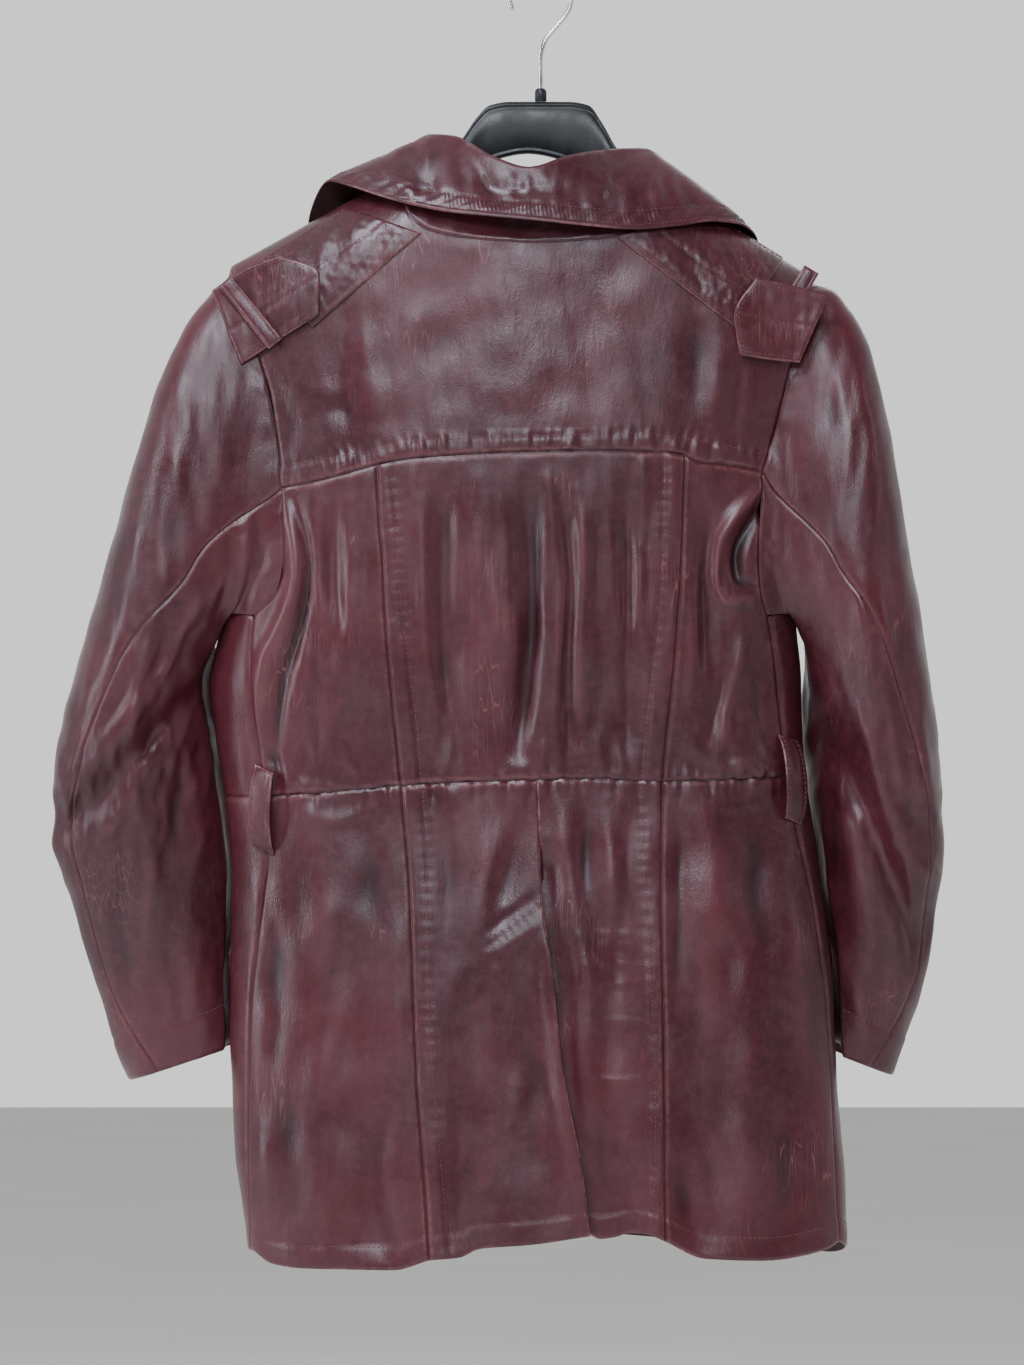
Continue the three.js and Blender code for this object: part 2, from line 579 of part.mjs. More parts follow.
// Lapels, turned back over the fronts and held at the roll line
const LAPEL_ROWS = 9;
const LAPEL_COLS = 4;
const LAID_LIFT = LEATHER + LAID_CLEARANCE;
for (const side of SIDES) {
  const roll = path(ROLL_LINE[side]);
  const rollShare = (i) => mix(LAPEL_START, LAPEL_END, i / LAPEL_ROWS);
  const rollLine = Array.from({ length: LAPEL_ROWS + 1 }, (_, i) => roll(rollShare(i)));
  const start = rollLine[0];
  const end = rollLine[LAPEL_ROWS];
  const point = [end[0] + SIGN[side] * LAPEL_POINT_WIDTH, end[1]];
  const outerLine = sample([LAPEL_TOP[side], LAPEL_BELLY[side], point], LAPEL_ROWS);
  const top = sample([start, LAPEL_TOP[side]], LAPEL_COLS);
  const foot = sample([end, point], LAPEL_COLS);
  const rows = patch(...[top, foot, rollLine, outerLine].map((line) => line.map(onFront(side))));
  const under = overlapLift(side);
  bodyPanel(`lapel_${side}`, side === 'left' ? rows : rows.map((row) => [...row].reverse()),
    (angle, z) => under(angle, z) + LAID_LIFT);
}

// A straight band laid on the body between two [angle, z] points
function band(from, to, width, cols, rows) {
  const start = [from[0] * HALF_WIDTH, from[1]];
  const end = [to[0] * HALF_WIDTH, to[1]];
  const length = Math.hypot(end[0] - start[0], end[1] - start[1]);
  const across = [(start[1] - end[1]) / length, (end[0] - start[0]) / length];
  return Array.from({ length: rows + 1 }, (_, j) => Array.from({ length: cols + 1 }, (_, i) => {
    const out = (i / cols - 0.5) * width;
    const round = mix(start[0], end[0], j / rows) + across[0] * out;
    return [round / HALF_WIDTH, mix(start[1], end[1], j / rows) + across[1] * out];
  }));
}

for (const side of SIDES) {
  const { top, foot, width } = POCKET[side];
  const ends = [top, foot].map(([degrees, z]) => [radians(degrees), z]);
  bodyPanel(`pocket_welt_${side}`, band(...ends, width, 2, 8), () => LAID_LIFT);
}

// Belt loops stand off the side seams between their sewn ends
for (const side of SIDES) {
  const { top, foot, width } = BELT_LOOP[side];
  const along = (z) => THREE.MathUtils.clamp((top[1] - z) / (top[1] - foot[1]), 0, 1);
  const rise = (angle, z) => Math.sin(Math.PI * along(z)) ** 0.6;
  bodyPanel(`belt_loop_${side}`, band(onBack(top), onBack(foot), width, 2, 8),
    (angle, z) => LEATHER + SEWN_CLEARANCE + BELT_LOOP_RISE * rise(angle, z));
}

// Sleeves: tubes whose first ring is the armhole
const armholeLoop = (side) => join(armholeUpper[side], armholeLower[side], frontArmhole[side]);

function sleeveSurface(side) {
  const stations = SLEEVE_STATIONS[side];
  const columns = stations[0].map((_, k) => profile(stations.map((station, i) => [i, station[k]])));
  const loop = armholeLoop(side).map(([angle, z]) => bodyPoint(angle, z));
  const nodes = loop.length - 1;
  const loopAt = profile3(loop);
  const backSeam = profile(BACK_SLEEVE_SEAM);
  const frontSeam = profile(FRONT_SLEEVE_SEAM);
  const backNode = BACK_NODES_UPPER;
  const frontNode = BACK_NODES_UPPER + BACK_NODES_LOWER + FRONT_SEAM_NODE;
  const creaseHeight = profile(ELBOW_CREASE[side].line);
  const topNodes = nodes - frontNode + backNode;
  const turnAt = (node, station) => {
    const back = backSeam(station);
    const front = frontSeam(station);
    if (node > frontNode) return mix(front, 360 + back, (node - frontNode) / topNodes);
    if (node < backNode) return mix(front - 360, back, (node + nodes - frontNode) / topNodes);
    return mix(back, front, (node - backNode) / (frontNode - backNode));
  };
  return (node, station) => {
    const section = columns.map((column) => column(station));
    const [outerX, outerZ, innerX, innerZ, middleY, halfDepth, forward] = section;
    const angle = radians(turnAt(node, station));
    const across = Math.sign(Math.cos(angle)) * Math.abs(Math.cos(angle)) ** SLEEVE_ROUNDNESS;
    const depth = Math.sign(Math.sin(angle)) * Math.abs(Math.sin(angle)) ** SLEEVE_ROUNDNESS;
    const point = new THREE.Vector3(
      (outerX + innerX) / 2 + (outerX - innerX) / 2 * across,
      middleY - halfDepth * depth + forward * Math.max(-across, 0),
      (outerZ + innerZ) / 2 + (outerZ - innerZ) / 2 * across,
    );
    const below = (point.z - creaseHeight(point.x)) * ELBOW_CREASE[side].steepness;
    const facing = ease(depth, 0.1, 0.7);
    const fold = ELBOW_CREASE[side].ridge * Math.exp(-(((below - 12) / 13) ** 2))
      - ELBOW_CREASE[side].depth * Math.exp(-(((below + 6) / 12) ** 2));
    point.y -= facing * fold * ease(station, 1.5, 3.5);
    const left = Math.max(1 - station / ARMHOLE_STATIONS, 0);
    const mixed = loopAt((node + nodes) % nodes).lerp(point, 1 - left * left);
    return clearOfBody(mixed, SLEEVE_BODY_CLEARANCE * Math.min(station / 1.2, 1));
  };
}

// Moves a point outwards from the body's middle until it is clear of the leather, or of its line
// across the armhole
function clearOfBody(point, clearance) {
  const left = leftSide(point.z);
  const right = rightSide(point.z);
  const middle = (left + right) / 2;
  const across = Math.abs(point.x - middle) / ((right - left) / 2);
  const depth = Math.abs(point.y) / (point.y < 0 ? backDepth(point.z) : frontDepth(point.z));
  const share = (across ** BODY_SQUARENESS + depth ** BODY_SQUARENESS) ** (1 / BODY_SQUARENESS);
  const wanted = 1 + clearance / HALF_WIDTH;
  const grow = mix(1, Math.max(wanted / share, 1), ease(SLEEVE_CAP_FOOT - point.z, -50, 30));
  return new THREE.Vector3(middle + (point.x - middle) * grow, point.y * grow, point.z);
}

function profile3(points) {
  const axes = ['x', 'y', 'z'].map((axis) => profile(points.map((point, i) => [i, point[axis]])));
  return (place) => new THREE.Vector3(...axes.map((axis) => axis(place)));
}

for (const side of SIDES) {
  const surface = sleeveSurface(side);
  const nodes = BACK_NODES_UPPER + BACK_NODES_LOWER + FRONT_NODES;
  const frontNode = nodes - FRONT_NODES + FRONT_SEAM_NODE;
  const lastStation = SLEEVE_STATIONS[side].length - 1;
  const normal = (node, station) => {
    const before = Math.max(station - 0.1, 0);
    const round = surface(node + 0.05, station).sub(surface(node - 0.05, station));
    const down = surface(node, before + 0.2).sub(surface(node, before));
    return down.cross(round).multiplyScalar(-SIGN[side]).normalize();
  };
  const loop = armholeLoop(side).map(([angle, z]) => bodyNormal(angle, z));
  // Where the sleeve turns in from the body, both walls end on the same edge
  const wallNormal = (node, station) => {
    if (station > 0) return normal(node, station);
    const bodySide = loop[(node + nodes) % nodes];
    const leaving = surface(node, 0.2).sub(surface(node, 0));
    return leaving.dot(bodySide) < 0 ? bodySide : normal(node, station);
  };
  const half = (name, first, count) => {
    const columns = Array.from({ length: count + 1 }, (_, i) => first + i);
    if (side === 'right') columns.reverse();
    const outer = [];
    const inner = [];
    for (let j = 0; j <= SLEEVE_RINGS; j += 1) {
      const station = lastStation * j / SLEEVE_RINGS;
      outer.push(columns.map((node) => surface(node, station)));
      inner.push(columns.map((node, i) => {
        return outer[j][i].clone().addScaledVector(wallNormal(node, station), -LEATHER);
      }));
    }
    return piece(name, solid(trimmed(outer), trimmed(inner)));
  };
  half(`top_sleeve_${side}`, frontNode - nodes, nodes - frontNode + BACK_NODES_UPPER);
  half(`under_sleeve_${side}`, BACK_NODES_UPPER, frontNode - BACK_NODES_UPPER);
}

// Collar: one sheet from the roll line down to its edge, and the stand below it
const COLLAR_COLS = 26;
const COLLAR_ROWS = 5;
const toVector = ([x, y, z]) => new THREE.Vector3(x, y, z);
const rollAt = path(COLLAR_ROLL);
const edgeAt = path(COLLAR_EDGE);
const collarGrid = [];

// Moves a point of the collar forwards or back until it is off the body
function offBody(point) {
  if (point.z > shoulderHeight(point.x)) return point;
  const angle = bodyAngle(point.x, point.z);
  const back = -bodyPoint(angle, point.z).y + COLLAR_OFF_BACK;
  const front = bodyPoint(Math.PI - angle, point.z).y + COLLAR_OFF_FRONT;
  const y = point.y < 0 ? Math.min(point.y, -back) : Math.max(point.y, front);
  return new THREE.Vector3(point.x, y, point.z);
}

for (let j = 0; j <= COLLAR_ROWS; j += 1) {
  const down = j / COLLAR_ROWS;
  collarGrid.push(Array.from({ length: COLLAR_COLS + 1 }, (_, i) => {
    const point = toVector(rollAt(i / COLLAR_COLS)).lerp(toVector(edgeAt(i / COLLAR_COLS)), down);
    const outwards = new THREE.Vector3(point.x, point.y, 60).normalize();
    return offBody(point.addScaledVector(outwards, COLLAR_BULGE * Math.sin(Math.PI * down)));
  }));
}
piece('collar', solid(collarGrid, offset(collarGrid, gridNormals(collarGrid), -LEATHER)));

const STAND_ROWS = 4;
const STAND_FORWARD = 1.2;
const standRoll = COLLAR_ROLL.slice(2, -2);
const standTop = path(standRoll.map(([x, y, z]) => [x * STAND_INSET, y + STAND_FORWARD, z - STAND_DROP]));
const neckLine = neckPlaces.map(([angle, z]) => bodyPoint(angle, z));
const standGrid = [];
for (let j = 0; j <= STAND_ROWS; j += 1) {
  standGrid.push(neckLine.map((foot, i) => {
    const top = toVector(standTop(i / NECK_COLS));
    const steeper = Math.max(1 - Math.min(i, NECK_COLS - i) / 3, 0);
    const upwards = top.clone().sub(foot).normalize();
    const start = foot.clone().addScaledVector(upwards, NECK_GAP * (1 + 2 * steeper));
    return top.lerp(start, j / STAND_ROWS);
  }));
}
const standNormals = gridNormals(standGrid);
standNormals[STAND_ROWS] = neckPlaces.map(([angle, z]) => bodyNormal(angle, z));
piece('collar_stand', solid(standGrid, offset(standGrid, standNormals, -LEATHER)));

// Shoulder straps
const EPAULETTE_COLS = 8;
const EPAULETTE_ROWS = 8;
for (const side of SIDES) {
  const [neckUpper, neckLower, outerLower, outerUpper] = EPAULETTE[side];
  const top = sample([outerUpper, neckUpper], EPAULETTE_COLS);
  const foot = sample([outerLower, neckLower], EPAULETTE_COLS);
  const outerEnd = sample([outerUpper, outerLower], EPAULETTE_ROWS, closerAtTop);
  const neckEnd = sample([neckUpper, neckLower], EPAULETTE_ROWS, closerAtTop);
  const rows = patch(top.map(onBack), foot.map(onBack), outerEnd.map(onBack), neckEnd.map(onBack));
  const facing = side === 'left' ? rows : rows.map((row) => [...row].reverse());
  bodyPanel(`epaulette_${side}`, facing, () => STRAP_LIFT);
}

// A sheet pulled taut over other pieces: each point lies behind which it meets them, seen from the back
const caster = new THREE.Raycaster();
function tautSheet(name, rows, under, clearance) {
  const towards = new THREE.Vector3(0, 1, 0);
  const resting = rows.map((row) => row.map(([x, z]) => {
    caster.set(new THREE.Vector3(x, -400, z), towards);
    const hits = caster.intersectObjects(under.map((node) => coat.getObjectByName(node)), false);
    return hits.length ? hits[0].point.y - clearance : null;
  }));
  let depths = resting.map((row) => row.map((y) => y ?? -TAUT_START));
  for (let pass = 0; pass < TAUT_PASSES; pass += 1) {
    depths = depths.map((row, j) => row.map((_, i) => {
      const beside = [depths[j - 1]?.[i], depths[j + 1]?.[i], row[i - 1], row[i + 1]];
      const near = beside.filter((y) => y !== undefined);
      const average = near.reduce((sum, y) => sum + y, 0) / near.length;
      return Math.min(average, resting[j][i] ?? average);
    }));
  }
  const inner = rows.map((row, j) => row.map(([x, z], i) => new THREE.Vector3(x, depths[j][i], z)));
  return piece(name, solid(offset(inner, gridNormals(inner), LEATHER), inner));
}

function strapTab(side) {
  const { tip, upper, lower } = TAB[side];
  const end = sample([upper[0], tip, lower[0]], TAB_ROWS);
  const outerEnd = sample([upper[upper.length - 1], lower[lower.length - 1]], TAB_ROWS);
  const top = sample(upper, TAB_COLS);
  const foot = sample(lower, TAB_COLS);
  const scaled = (row) => row.map(([x, z]) => [x / HALF_WIDTH, z]);
  const places = patch(...[top, foot, end, outerEnd].map(scaled));
  const rows = places.map((row) => row.map(([angle, z]) => [angle * HALF_WIDTH, z]));
  return side === 'left' ? rows.map((row) => [...row].reverse()) : rows;
}

function strapLoop(side) {
  const { from, to, width } = LOOP[side];
  const length = Math.hypot(to[0] - from[0], to[1] - from[1]);
  const across = [(from[1] - to[1]) / length, (to[0] - from[0]) / length];
  return Array.from({ length: LOOP_ROWS + 1 }, (_, j) => [-0.5, 0, 0.5].map((out) => [
    mix(from[0], to[0], j / LOOP_ROWS) + across[0] * out * width,
    mix(from[1], to[1], j / LOOP_ROWS) + across[1] * out * width,
  ]));
}

const TAB_COLS = 8;
const TAB_ROWS = 6;
const LOOP_ROWS = 8;
const onShoulder = (side, ...more) => [
  'back_yoke',
  ...['top_sleeve', 'under_sleeve', 'epaulette', ...more].map((name) => `${name}_${side}`),
];
tautSheet('epaulette_tab_left', strapTab('left'), onShoulder('left'), STRAP_CLEARANCE);
tautSheet('epaulette_loop_left', strapLoop('left'), onShoulder('left', 'epaulette_tab'), STRAP_CLEARANCE);
tautSheet('epaulette_loop_right', strapLoop('right'), onShoulder('right'), STRAP_CLEARANCE);
tautSheet('epaulette_tab_right', strapTab('right'), onShoulder('right', 'epaulette_loop'), FREE_TAB_CLEARANCE);

// Front buttons, on the right front's edge
const frontFace = onFront('right');
const rightLift = overlapLift('right');
const lathe = (outline, sides) => {
  const points = outline.map(([radius, height]) => new THREE.Vector2(radius, height));
  return new THREE.LatheGeometry(points, sides);
};
const buttonFace = BUTTON_THICKNESS * 0.7;
const buttonOutline = [[0, 0], [BUTTON_RADIUS, 0], [BUTTON_RADIUS, buttonFace],
  [BUTTON_RADIUS * 0.88, BUTTON_THICKNESS], [BUTTON_RADIUS * 0.74, buttonFace], [0, buttonFace]];
BUTTON_HEIGHTS.forEach((z, i) => {
  const [angle] = frontFace([CENTRE_FRONT_X, z]);
  const button = piece(`front_button_${i + 1}`, lathe(buttonOutline, 18), BUTTON_LOOK);
  const normal = bodyNormal(angle, z);
  button.quaternion.setFromUnitVectors(new THREE.Vector3(0, 1, 0), normal);
  button.position.copy(bodyPoint(angle, z).addScaledVector(normal, rightLift(angle, z) + BUTTON_CLEARANCE));
});

// Hanger: one moulded body, lofted from arm to arm
const HANGER_STATIONS = 26;
const HANGER_SIDES = 12;
const hangerTop = profile(HANGER_TOP);
const hangerUnderside = profile(HANGER_UNDERSIDE);
const hangerHalfDepth = profile(HANGER_HALF_DEPTH);
const hangerLeft = HANGER_TOP[0][0];
const hangerRight = HANGER_TOP[HANGER_TOP.length - 1][0];

function loft(rings) {
  const sides = rings[0].length;
  const positions = rings.flat().flatMap((point) => [point.x, point.y, point.z]);
  const faces = [];
  for (let j = 0; j < rings.length - 1; j += 1) {
    for (let i = 0; i < sides; i += 1) {
      const [a, b] = [j * sides + i, j * sides + (i + 1) % sides];
      faces.push(a, b, b + sides, a, b + sides, a + sides);
    }
  }
  const last = (rings.length - 1) * sides;
  for (let i = 1; i < sides - 1; i += 1) {
    faces.push(0, i + 1, i, last, last + i, last + i + 1);
  }
  const geometry = new THREE.BufferGeometry();
  geometry.setAttribute('position', new THREE.Float32BufferAttribute(positions, 3));
  geometry.setIndex(faces);
  geometry.computeVertexNormals();
  return geometry;
}

piece('hanger_body', loft(Array.from({ length: HANGER_STATIONS + 1 }, (_, j) => {
  const x = mix(hangerLeft, hangerRight, j / HANGER_STATIONS);
  const middle = (hangerTop(x) + hangerUnderside(x)) / 2;
  const halfHeight = (hangerTop(x) - hangerUnderside(x)) / 2;
  return Array.from({ length: HANGER_SIDES }, (_, i) => {
    const turn = 2 * Math.PI * i / HANGER_SIDES;
    return new THREE.Vector3(x, hangerHalfDepth(x) * Math.cos(turn), middle + halfHeight * Math.sin(turn));
  });
})), HANGER_LOOK);

const socketFoot = HANGER_TOP_HEIGHT + SEAM_GAP;
const bore = WIRE_RADIUS + SEAM_GAP;
const socketOutline = [[bore, 0], [SOCKET_RADIUS, 0], [SOCKET_RADIUS, SOCKET_HEIGHT * 0.8],
  [SOCKET_RADIUS * 0.8, SOCKET_HEIGHT], [bore, SOCKET_HEIGHT], [bore, 0]];
const socket = piece('hanger_socket', lathe(socketOutline, 16), HANGER_LOOK);
socket.rotation.x = Math.PI / 2;
socket.position.z = socketFoot;

// The hook's wire: a straight shank, an easy bend to the right, then most of a circle
const hookCentreZ = -(HOOK_RADIUS - WIRE_RADIUS);
const shank = [[0, 0, socketFoot], [0, 0, -76], [0, 0, -62], [3, 0, -51], [10, 0, -42]].map(toVector);
const circle = Array.from({ length: HOOK_ARC_POINTS + 1 }, (_, i) => {
  const turn = radians(mix(HOOK_START, HOOK_END, i / HOOK_ARC_POINTS));
  return new THREE.Vector3(HOOK_RADIUS * Math.cos(turn), 0, hookCentreZ + HOOK_RADIUS * Math.sin(turn));
});
const wireSection = new THREE.Shape();
wireSection.absarc(0, 0, WIRE_RADIUS, 0, 2 * Math.PI);
piece('hanger_hook', new THREE.ExtrudeGeometry(wireSection, {
  steps: 36,
  curveSegments: 8,
  extrudePath: new THREE.CatmullRomCurve3([...shank, ...circle]),
}), STEEL_LOOK);

export default coat;
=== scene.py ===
"""A worn leather coat on its hanger, seen from the back: fine leather panels over the frame's solids.

Lengths are in millimetres here, and in metres on the meshes. Lines on the back are given in pixels
of the photograph, 0.70 mm each.
"""

import math

import bpy
import numpy as np
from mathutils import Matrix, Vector
from mathutils.bvhtree import BVHTree


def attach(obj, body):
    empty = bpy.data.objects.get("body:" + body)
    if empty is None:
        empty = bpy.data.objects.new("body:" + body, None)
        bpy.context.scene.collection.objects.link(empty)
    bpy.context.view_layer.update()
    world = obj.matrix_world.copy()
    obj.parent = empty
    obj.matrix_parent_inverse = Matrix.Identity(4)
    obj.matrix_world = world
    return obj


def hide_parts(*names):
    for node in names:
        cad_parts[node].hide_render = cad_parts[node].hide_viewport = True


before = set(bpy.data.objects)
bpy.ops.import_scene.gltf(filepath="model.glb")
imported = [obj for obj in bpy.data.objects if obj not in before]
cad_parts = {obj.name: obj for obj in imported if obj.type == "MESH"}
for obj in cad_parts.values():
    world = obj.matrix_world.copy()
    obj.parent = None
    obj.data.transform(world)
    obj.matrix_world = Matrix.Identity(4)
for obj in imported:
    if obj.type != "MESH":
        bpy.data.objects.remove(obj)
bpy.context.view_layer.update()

# The photograph: its size and the origin's place in pixels, and millimetres for each pixel
PHOTO_PX = (1024, 1365)
ORIGIN_PX = (541, -37.5)
SCALE = 0.70

# Leather, and the steps of the meshes over it
LEATHER = 1.6
LAID_LIFT = 2.4
PANEL_STEP, HIDDEN_STEP, BAND_STEP, LOOP_STEP = 2.5, 6.0, 2.5, 1.6
EPAULETTE_STEP, TAB_STEP, STRAP_LOOP_STEP = 1.9, 1.7, 1.4

# Distances of the stitch rows from their edges, and widths of the folded allowances under the panels
HEM_ROW, CUFF_ROW, FRONT_ROW, LAPEL_ROW = 16, 30, 9, 5
COLLAR_ROWS = (3.4, 14.0)
EPAULETTE_ROW, TAB_ROW, STRAP_LOOP_ROW, BAND_ROW = 3.2, 3.4, 2.4, 2.6
YOKE_STRIP, CENTRE_STRIPS, SKIRT_STRIP = 14, (12.5, 14), 13.5

# Body, as in the part's source
LEFT_SIDE = [(-150, -242), (-217, -239), (-277, -227), (-343, -216), (-418, -220), (-474, -228), (-504, -234),
             (-539, -230), (-593, -222), (-640, -218), (-741, -219), (-831, -216), (-905, -206), (-925, -204)]
RIGHT_SIDE = [(-150, 218), (-217, 215), (-286, 200), (-356, 180), (-457, 180), (-493, 183), (-560, 186),
              (-623, 195), (-651, 198), (-709, 206), (-767, 208), (-837, 214), (-905, 216), (-925, 217)]
BACK_DEPTH = [(-150, 55), (-250, 60), (-350, 64), (-450, 62), (-575, 56), (-700, 66), (-905, 78), (-925, 79)]
FRONT_DEPTH = [(-150, 50), (-250, 62), (-350, 68), (-450, 66), (-575, 58), (-700, 70), (-905, 82), (-925, 83)]
SQUARENESS = 2.5
HALF_WIDTH = 210
PEAK_X, PEAK_Z = -5, -92
SLOPE_LEFT, SLOPE_RIGHT = 0.553, 0.64
SHOULDER_ROUNDING = 62
SHOULDER_POINT = {"left": -219, "right": 190}
NECK_POINT = {"left": -99, "right": 89}
BACK_NECK = [(-99, -144), (-97, -166), (-82, -186), (-50, -193), (-4, -196), (45, -193), (76, -186),
             (88, -170), (89, -152.2)]
ARMHOLE_UPPER = {
    "left": [(-219, -210.5), (-207, -250), (-198, -277), (-190, -305), (-185, -335), (-182, -368)],
    "right": [(190, -216.8), (183, -255), (174, -288), (166, -320), (160, -342), (156, -356)],
}
ARMHOLE_LOWER = {
    "left": [(-182, -368), (-181, -397), (-181, -425), (-187, -443), (-202, -457)],
    "right": [(156, -356), (154, -390), (153, -418), (155, -440), (160, -457)],
}
YOKE_LEFT = [(-182, -368), (-152, -362), (-115, -352)]
YOKE_MIDDLE = [(-115, -352), (-93, -348), (-57, -345), (-13, -343), (37, -342), (86, -343), (101, -345)]
YOKE_RIGHT = [(101, -345), (111, -350), (125, -351), (156, -356)]
PRINCESS_LEFT = [(-115, -352), (-113, -395), (-111, -413), (-109, -456), (-104, -516), (-98, -576)]
PRINCESS_RIGHT = [(101, -345), (99, -409), (94, -484), (88, -541), (85, -573)]
SIDE_UPPER = {
    "left": [(-202, -457), (-204, -483), (-201, -525), (-197, -559), (-194, -584)],
    "right": [(160, -457), (165, -493), (170, -542), (175, -570)],
}
WAIST_LEFT = [(-194, -584), (-150, -581), (-98, -576)]
WAIST_MIDDLE_LEFT = [(-98, -576), (-59, -574), (-3, -572)]
WAIST_MIDDLE_RIGHT = [(-3, -572), (22, -571), (85, -573)]
WAIST_RIGHT = [(85, -573), (128, -572), (175, -570)]
STRIP_LEFT = [(-98, -576), (-92, -644), (-89, -730), (-87, -780), (-82, -845), (-78, -907)]
STRIP_RIGHT = [(85, -573), (84, -644), (85, -715), (86, -782), (87, -894)]
CENTRE_SEAM = [(-3, -572), (1, -658)]
VENT_EDGE = [(1, -658), (8, -708), (15, -772), (29, -847), (34, -890)]
SIDE_LOWER = {
    "left": [(-194, -584), (-192, -623), (-195, -650), (-200, -691), (-204, -730), (-206, -816),
             (-204, -903)],
    "right": [(175, -570), (179, -602), (190, -651), (196, -690), (200, -720), (203, -767), (206, -837),
              (210, -897)],
}
HEM_LEFT = [(-204, -903), (-188, -912), (-166, -914), (-104, -914), (-78, -907)]
HEM_MIDDLE_LEFT = [(-78, -907), (-57, -905), (-43, -899), (-7, -896), (34, -890)]
HEM_MIDDLE_RIGHT = [(34, -889), (43, -892), (52, -891), (62, -888), (74, -889), (87, -894)]
HEM_RIGHT = [(87, -894), (115, -906), (158, -908), (200, -902), (210, -897)]
VENT_UNDERLAP, VENT_STEP, VENT_SINK, FLAP_RISE = 34, 3.4, 2.6, 3.8

# Fronts
FRONT_ARMHOLE = {
    "left": [(-82, -453), (-100, -440), (-113, -415), (-120, -380), (-122, -330), (-120, -270)],
    "right": [(84, -453), (101, -440), (113, -415), (119, -380), (121, -330), (119, -270)],
}
ROLL_LINE = {
    "left": [(-99, -144), (-92, -178), (-70, -222), (-36, -280), (2, -330)],
    "right": [(89, -152.2), (82, -182), (60, -226), (28, -280), (-12, -330)],
}
CENTRE_FRONT_X, FRONT_OVERLAP, OVERLAP_STEP, OVERLAP_SLOPE = -5, 22, 2.7, 24
BREAK_RUN = 26
WAIST_FRONT_Z, HEM_FRONT_Z, HEM_DIP_Z = -585, -893, -908
LAPEL_TOP = {"left": (-128, -222), "right": (118, -226)}
LAPEL_BELLY = {"left": (-72, -285), "right": (62, -288)}
LAPEL_START, LAPEL_END, LAPEL_POINT_WIDTH = 0.22, 0.88, 8

# Sleeves: outer x, outer z, inner x, inner z, the middle's depth, half depth, and how far forward the
# inner edge lies
SLEEVE_STATIONS = {
    "left": [
        (-219, -211, -212, -457, 0, 37, 0), (-241, -232, -217, -462, -6, 39, 0),
        (-261, -271, -222, -469, -10, 42, 2), (-286, -348, -227, -477, -12, 45, 8),
        (-308, -425, -231, -486, -11, 47, 18), (-326, -490, -231, -497, -9, 48, 28),
        (-343, -565, -227, -512, -5, 48, 34), (-344, -615, -222, -540, 5, 46, 30),
        (-333, -656, -218, -580, 16, 44, 20), (-321, -698, -213, -640, 28, 42, 10),
        (-307, -747, -208, -708, 38, 43, 4), (-293, -787, -203, -757, 46, 44, 0),
    ],
    "right": [
        (190, -217, 168, -457, 0, 36, 0), (209, -223, 175, -462, -6, 39, 0),
        (226, -252, 181, -469, -10, 42, 2), (244, -320, 186, -477, -12, 45, 8),
        (258, -400, 187, -488, -11, 47, 18), (272, -485, 186, -502, -9, 48, 28),
        (282, -563, 184, -522, -5, 48, 34), (285, -620, 186, -552, 5, 46, 30),
        (280, -662, 189, -592, 16, 44, 22), (274, -708, 191, -648, 28, 42, 14),
        (262, -748, 190, -710, 38, 43, 6), (250, -783, 184, -757, 46, 44, 0),
    ],
}
SLEEVE_CLEARANCE, SLEEVE_ROUNDNESS, ARMHOLE_STATIONS, CAP_FOOT = 5, 0.9, 2.6, -310
ELBOW = {
    "left": ([(-333, -595), (-301, -567), (-270, -534), (-236, -493), (-176, -437)], 0.7, 3, 8),
    "right": ([(158, -449), (187, -509), (200, -525), (220, -558), (238, -607), (260, -666)], 0.45, 3, 8),
}
UPPER_NODES, LOWER_NODES, FRONT_NODES, FRONT_SEAM_NODE = 8, 4, 12, 7
BACK_SLEEVE_SEAM = [(0, 118), (3, 104), (5, 70), (7, 40), (9, 34), (11, 62)]
FRONT_SLEEVE_SEAM = [(0, 232), (3, 236), (6, 240), (11, 244)]

# Collar
COLLAR_ROLL = [(-76, 52, -205), (-88, 30, -165), (-87, 4, -130), (-77, -18, -117), (-60, -25, -119),
               (-35, -27, -134), (-8, -28, -143), (20, -27, -134), (50, -25, -128), (73, -18, -127),
                (86, 4, -139),
               (84, 32, -170), (70, 54, -208)]
COLLAR_EDGE = [(-124, 62, -238), (-160, 38, -203), (-165, 16, -181), (-159, -2, -160), (-150, -15, -150),
               (-134, -32, -155), (-113, -47, -163), (-93, -58, -169), (-64, -67, -175), (-36, -71, -178),
               (-4, -73, -181), (34, -71, -185), (63, -66, -187), (97, -55, -184), (122, -42, -180),
               (139, -28, -181),
               (151, -12, -187), (154, 10, -192), (150, 34, -208), (116, 64, -242)]
COLLAR_BULGE, COLLAR_OFF_BACK, COLLAR_OFF_FRONT = 6, 3, 6
STAND_INSET, STAND_DROP, STAND_FORWARD, STAND_GAP = 0.985, 2.2, 1.2, 0.6

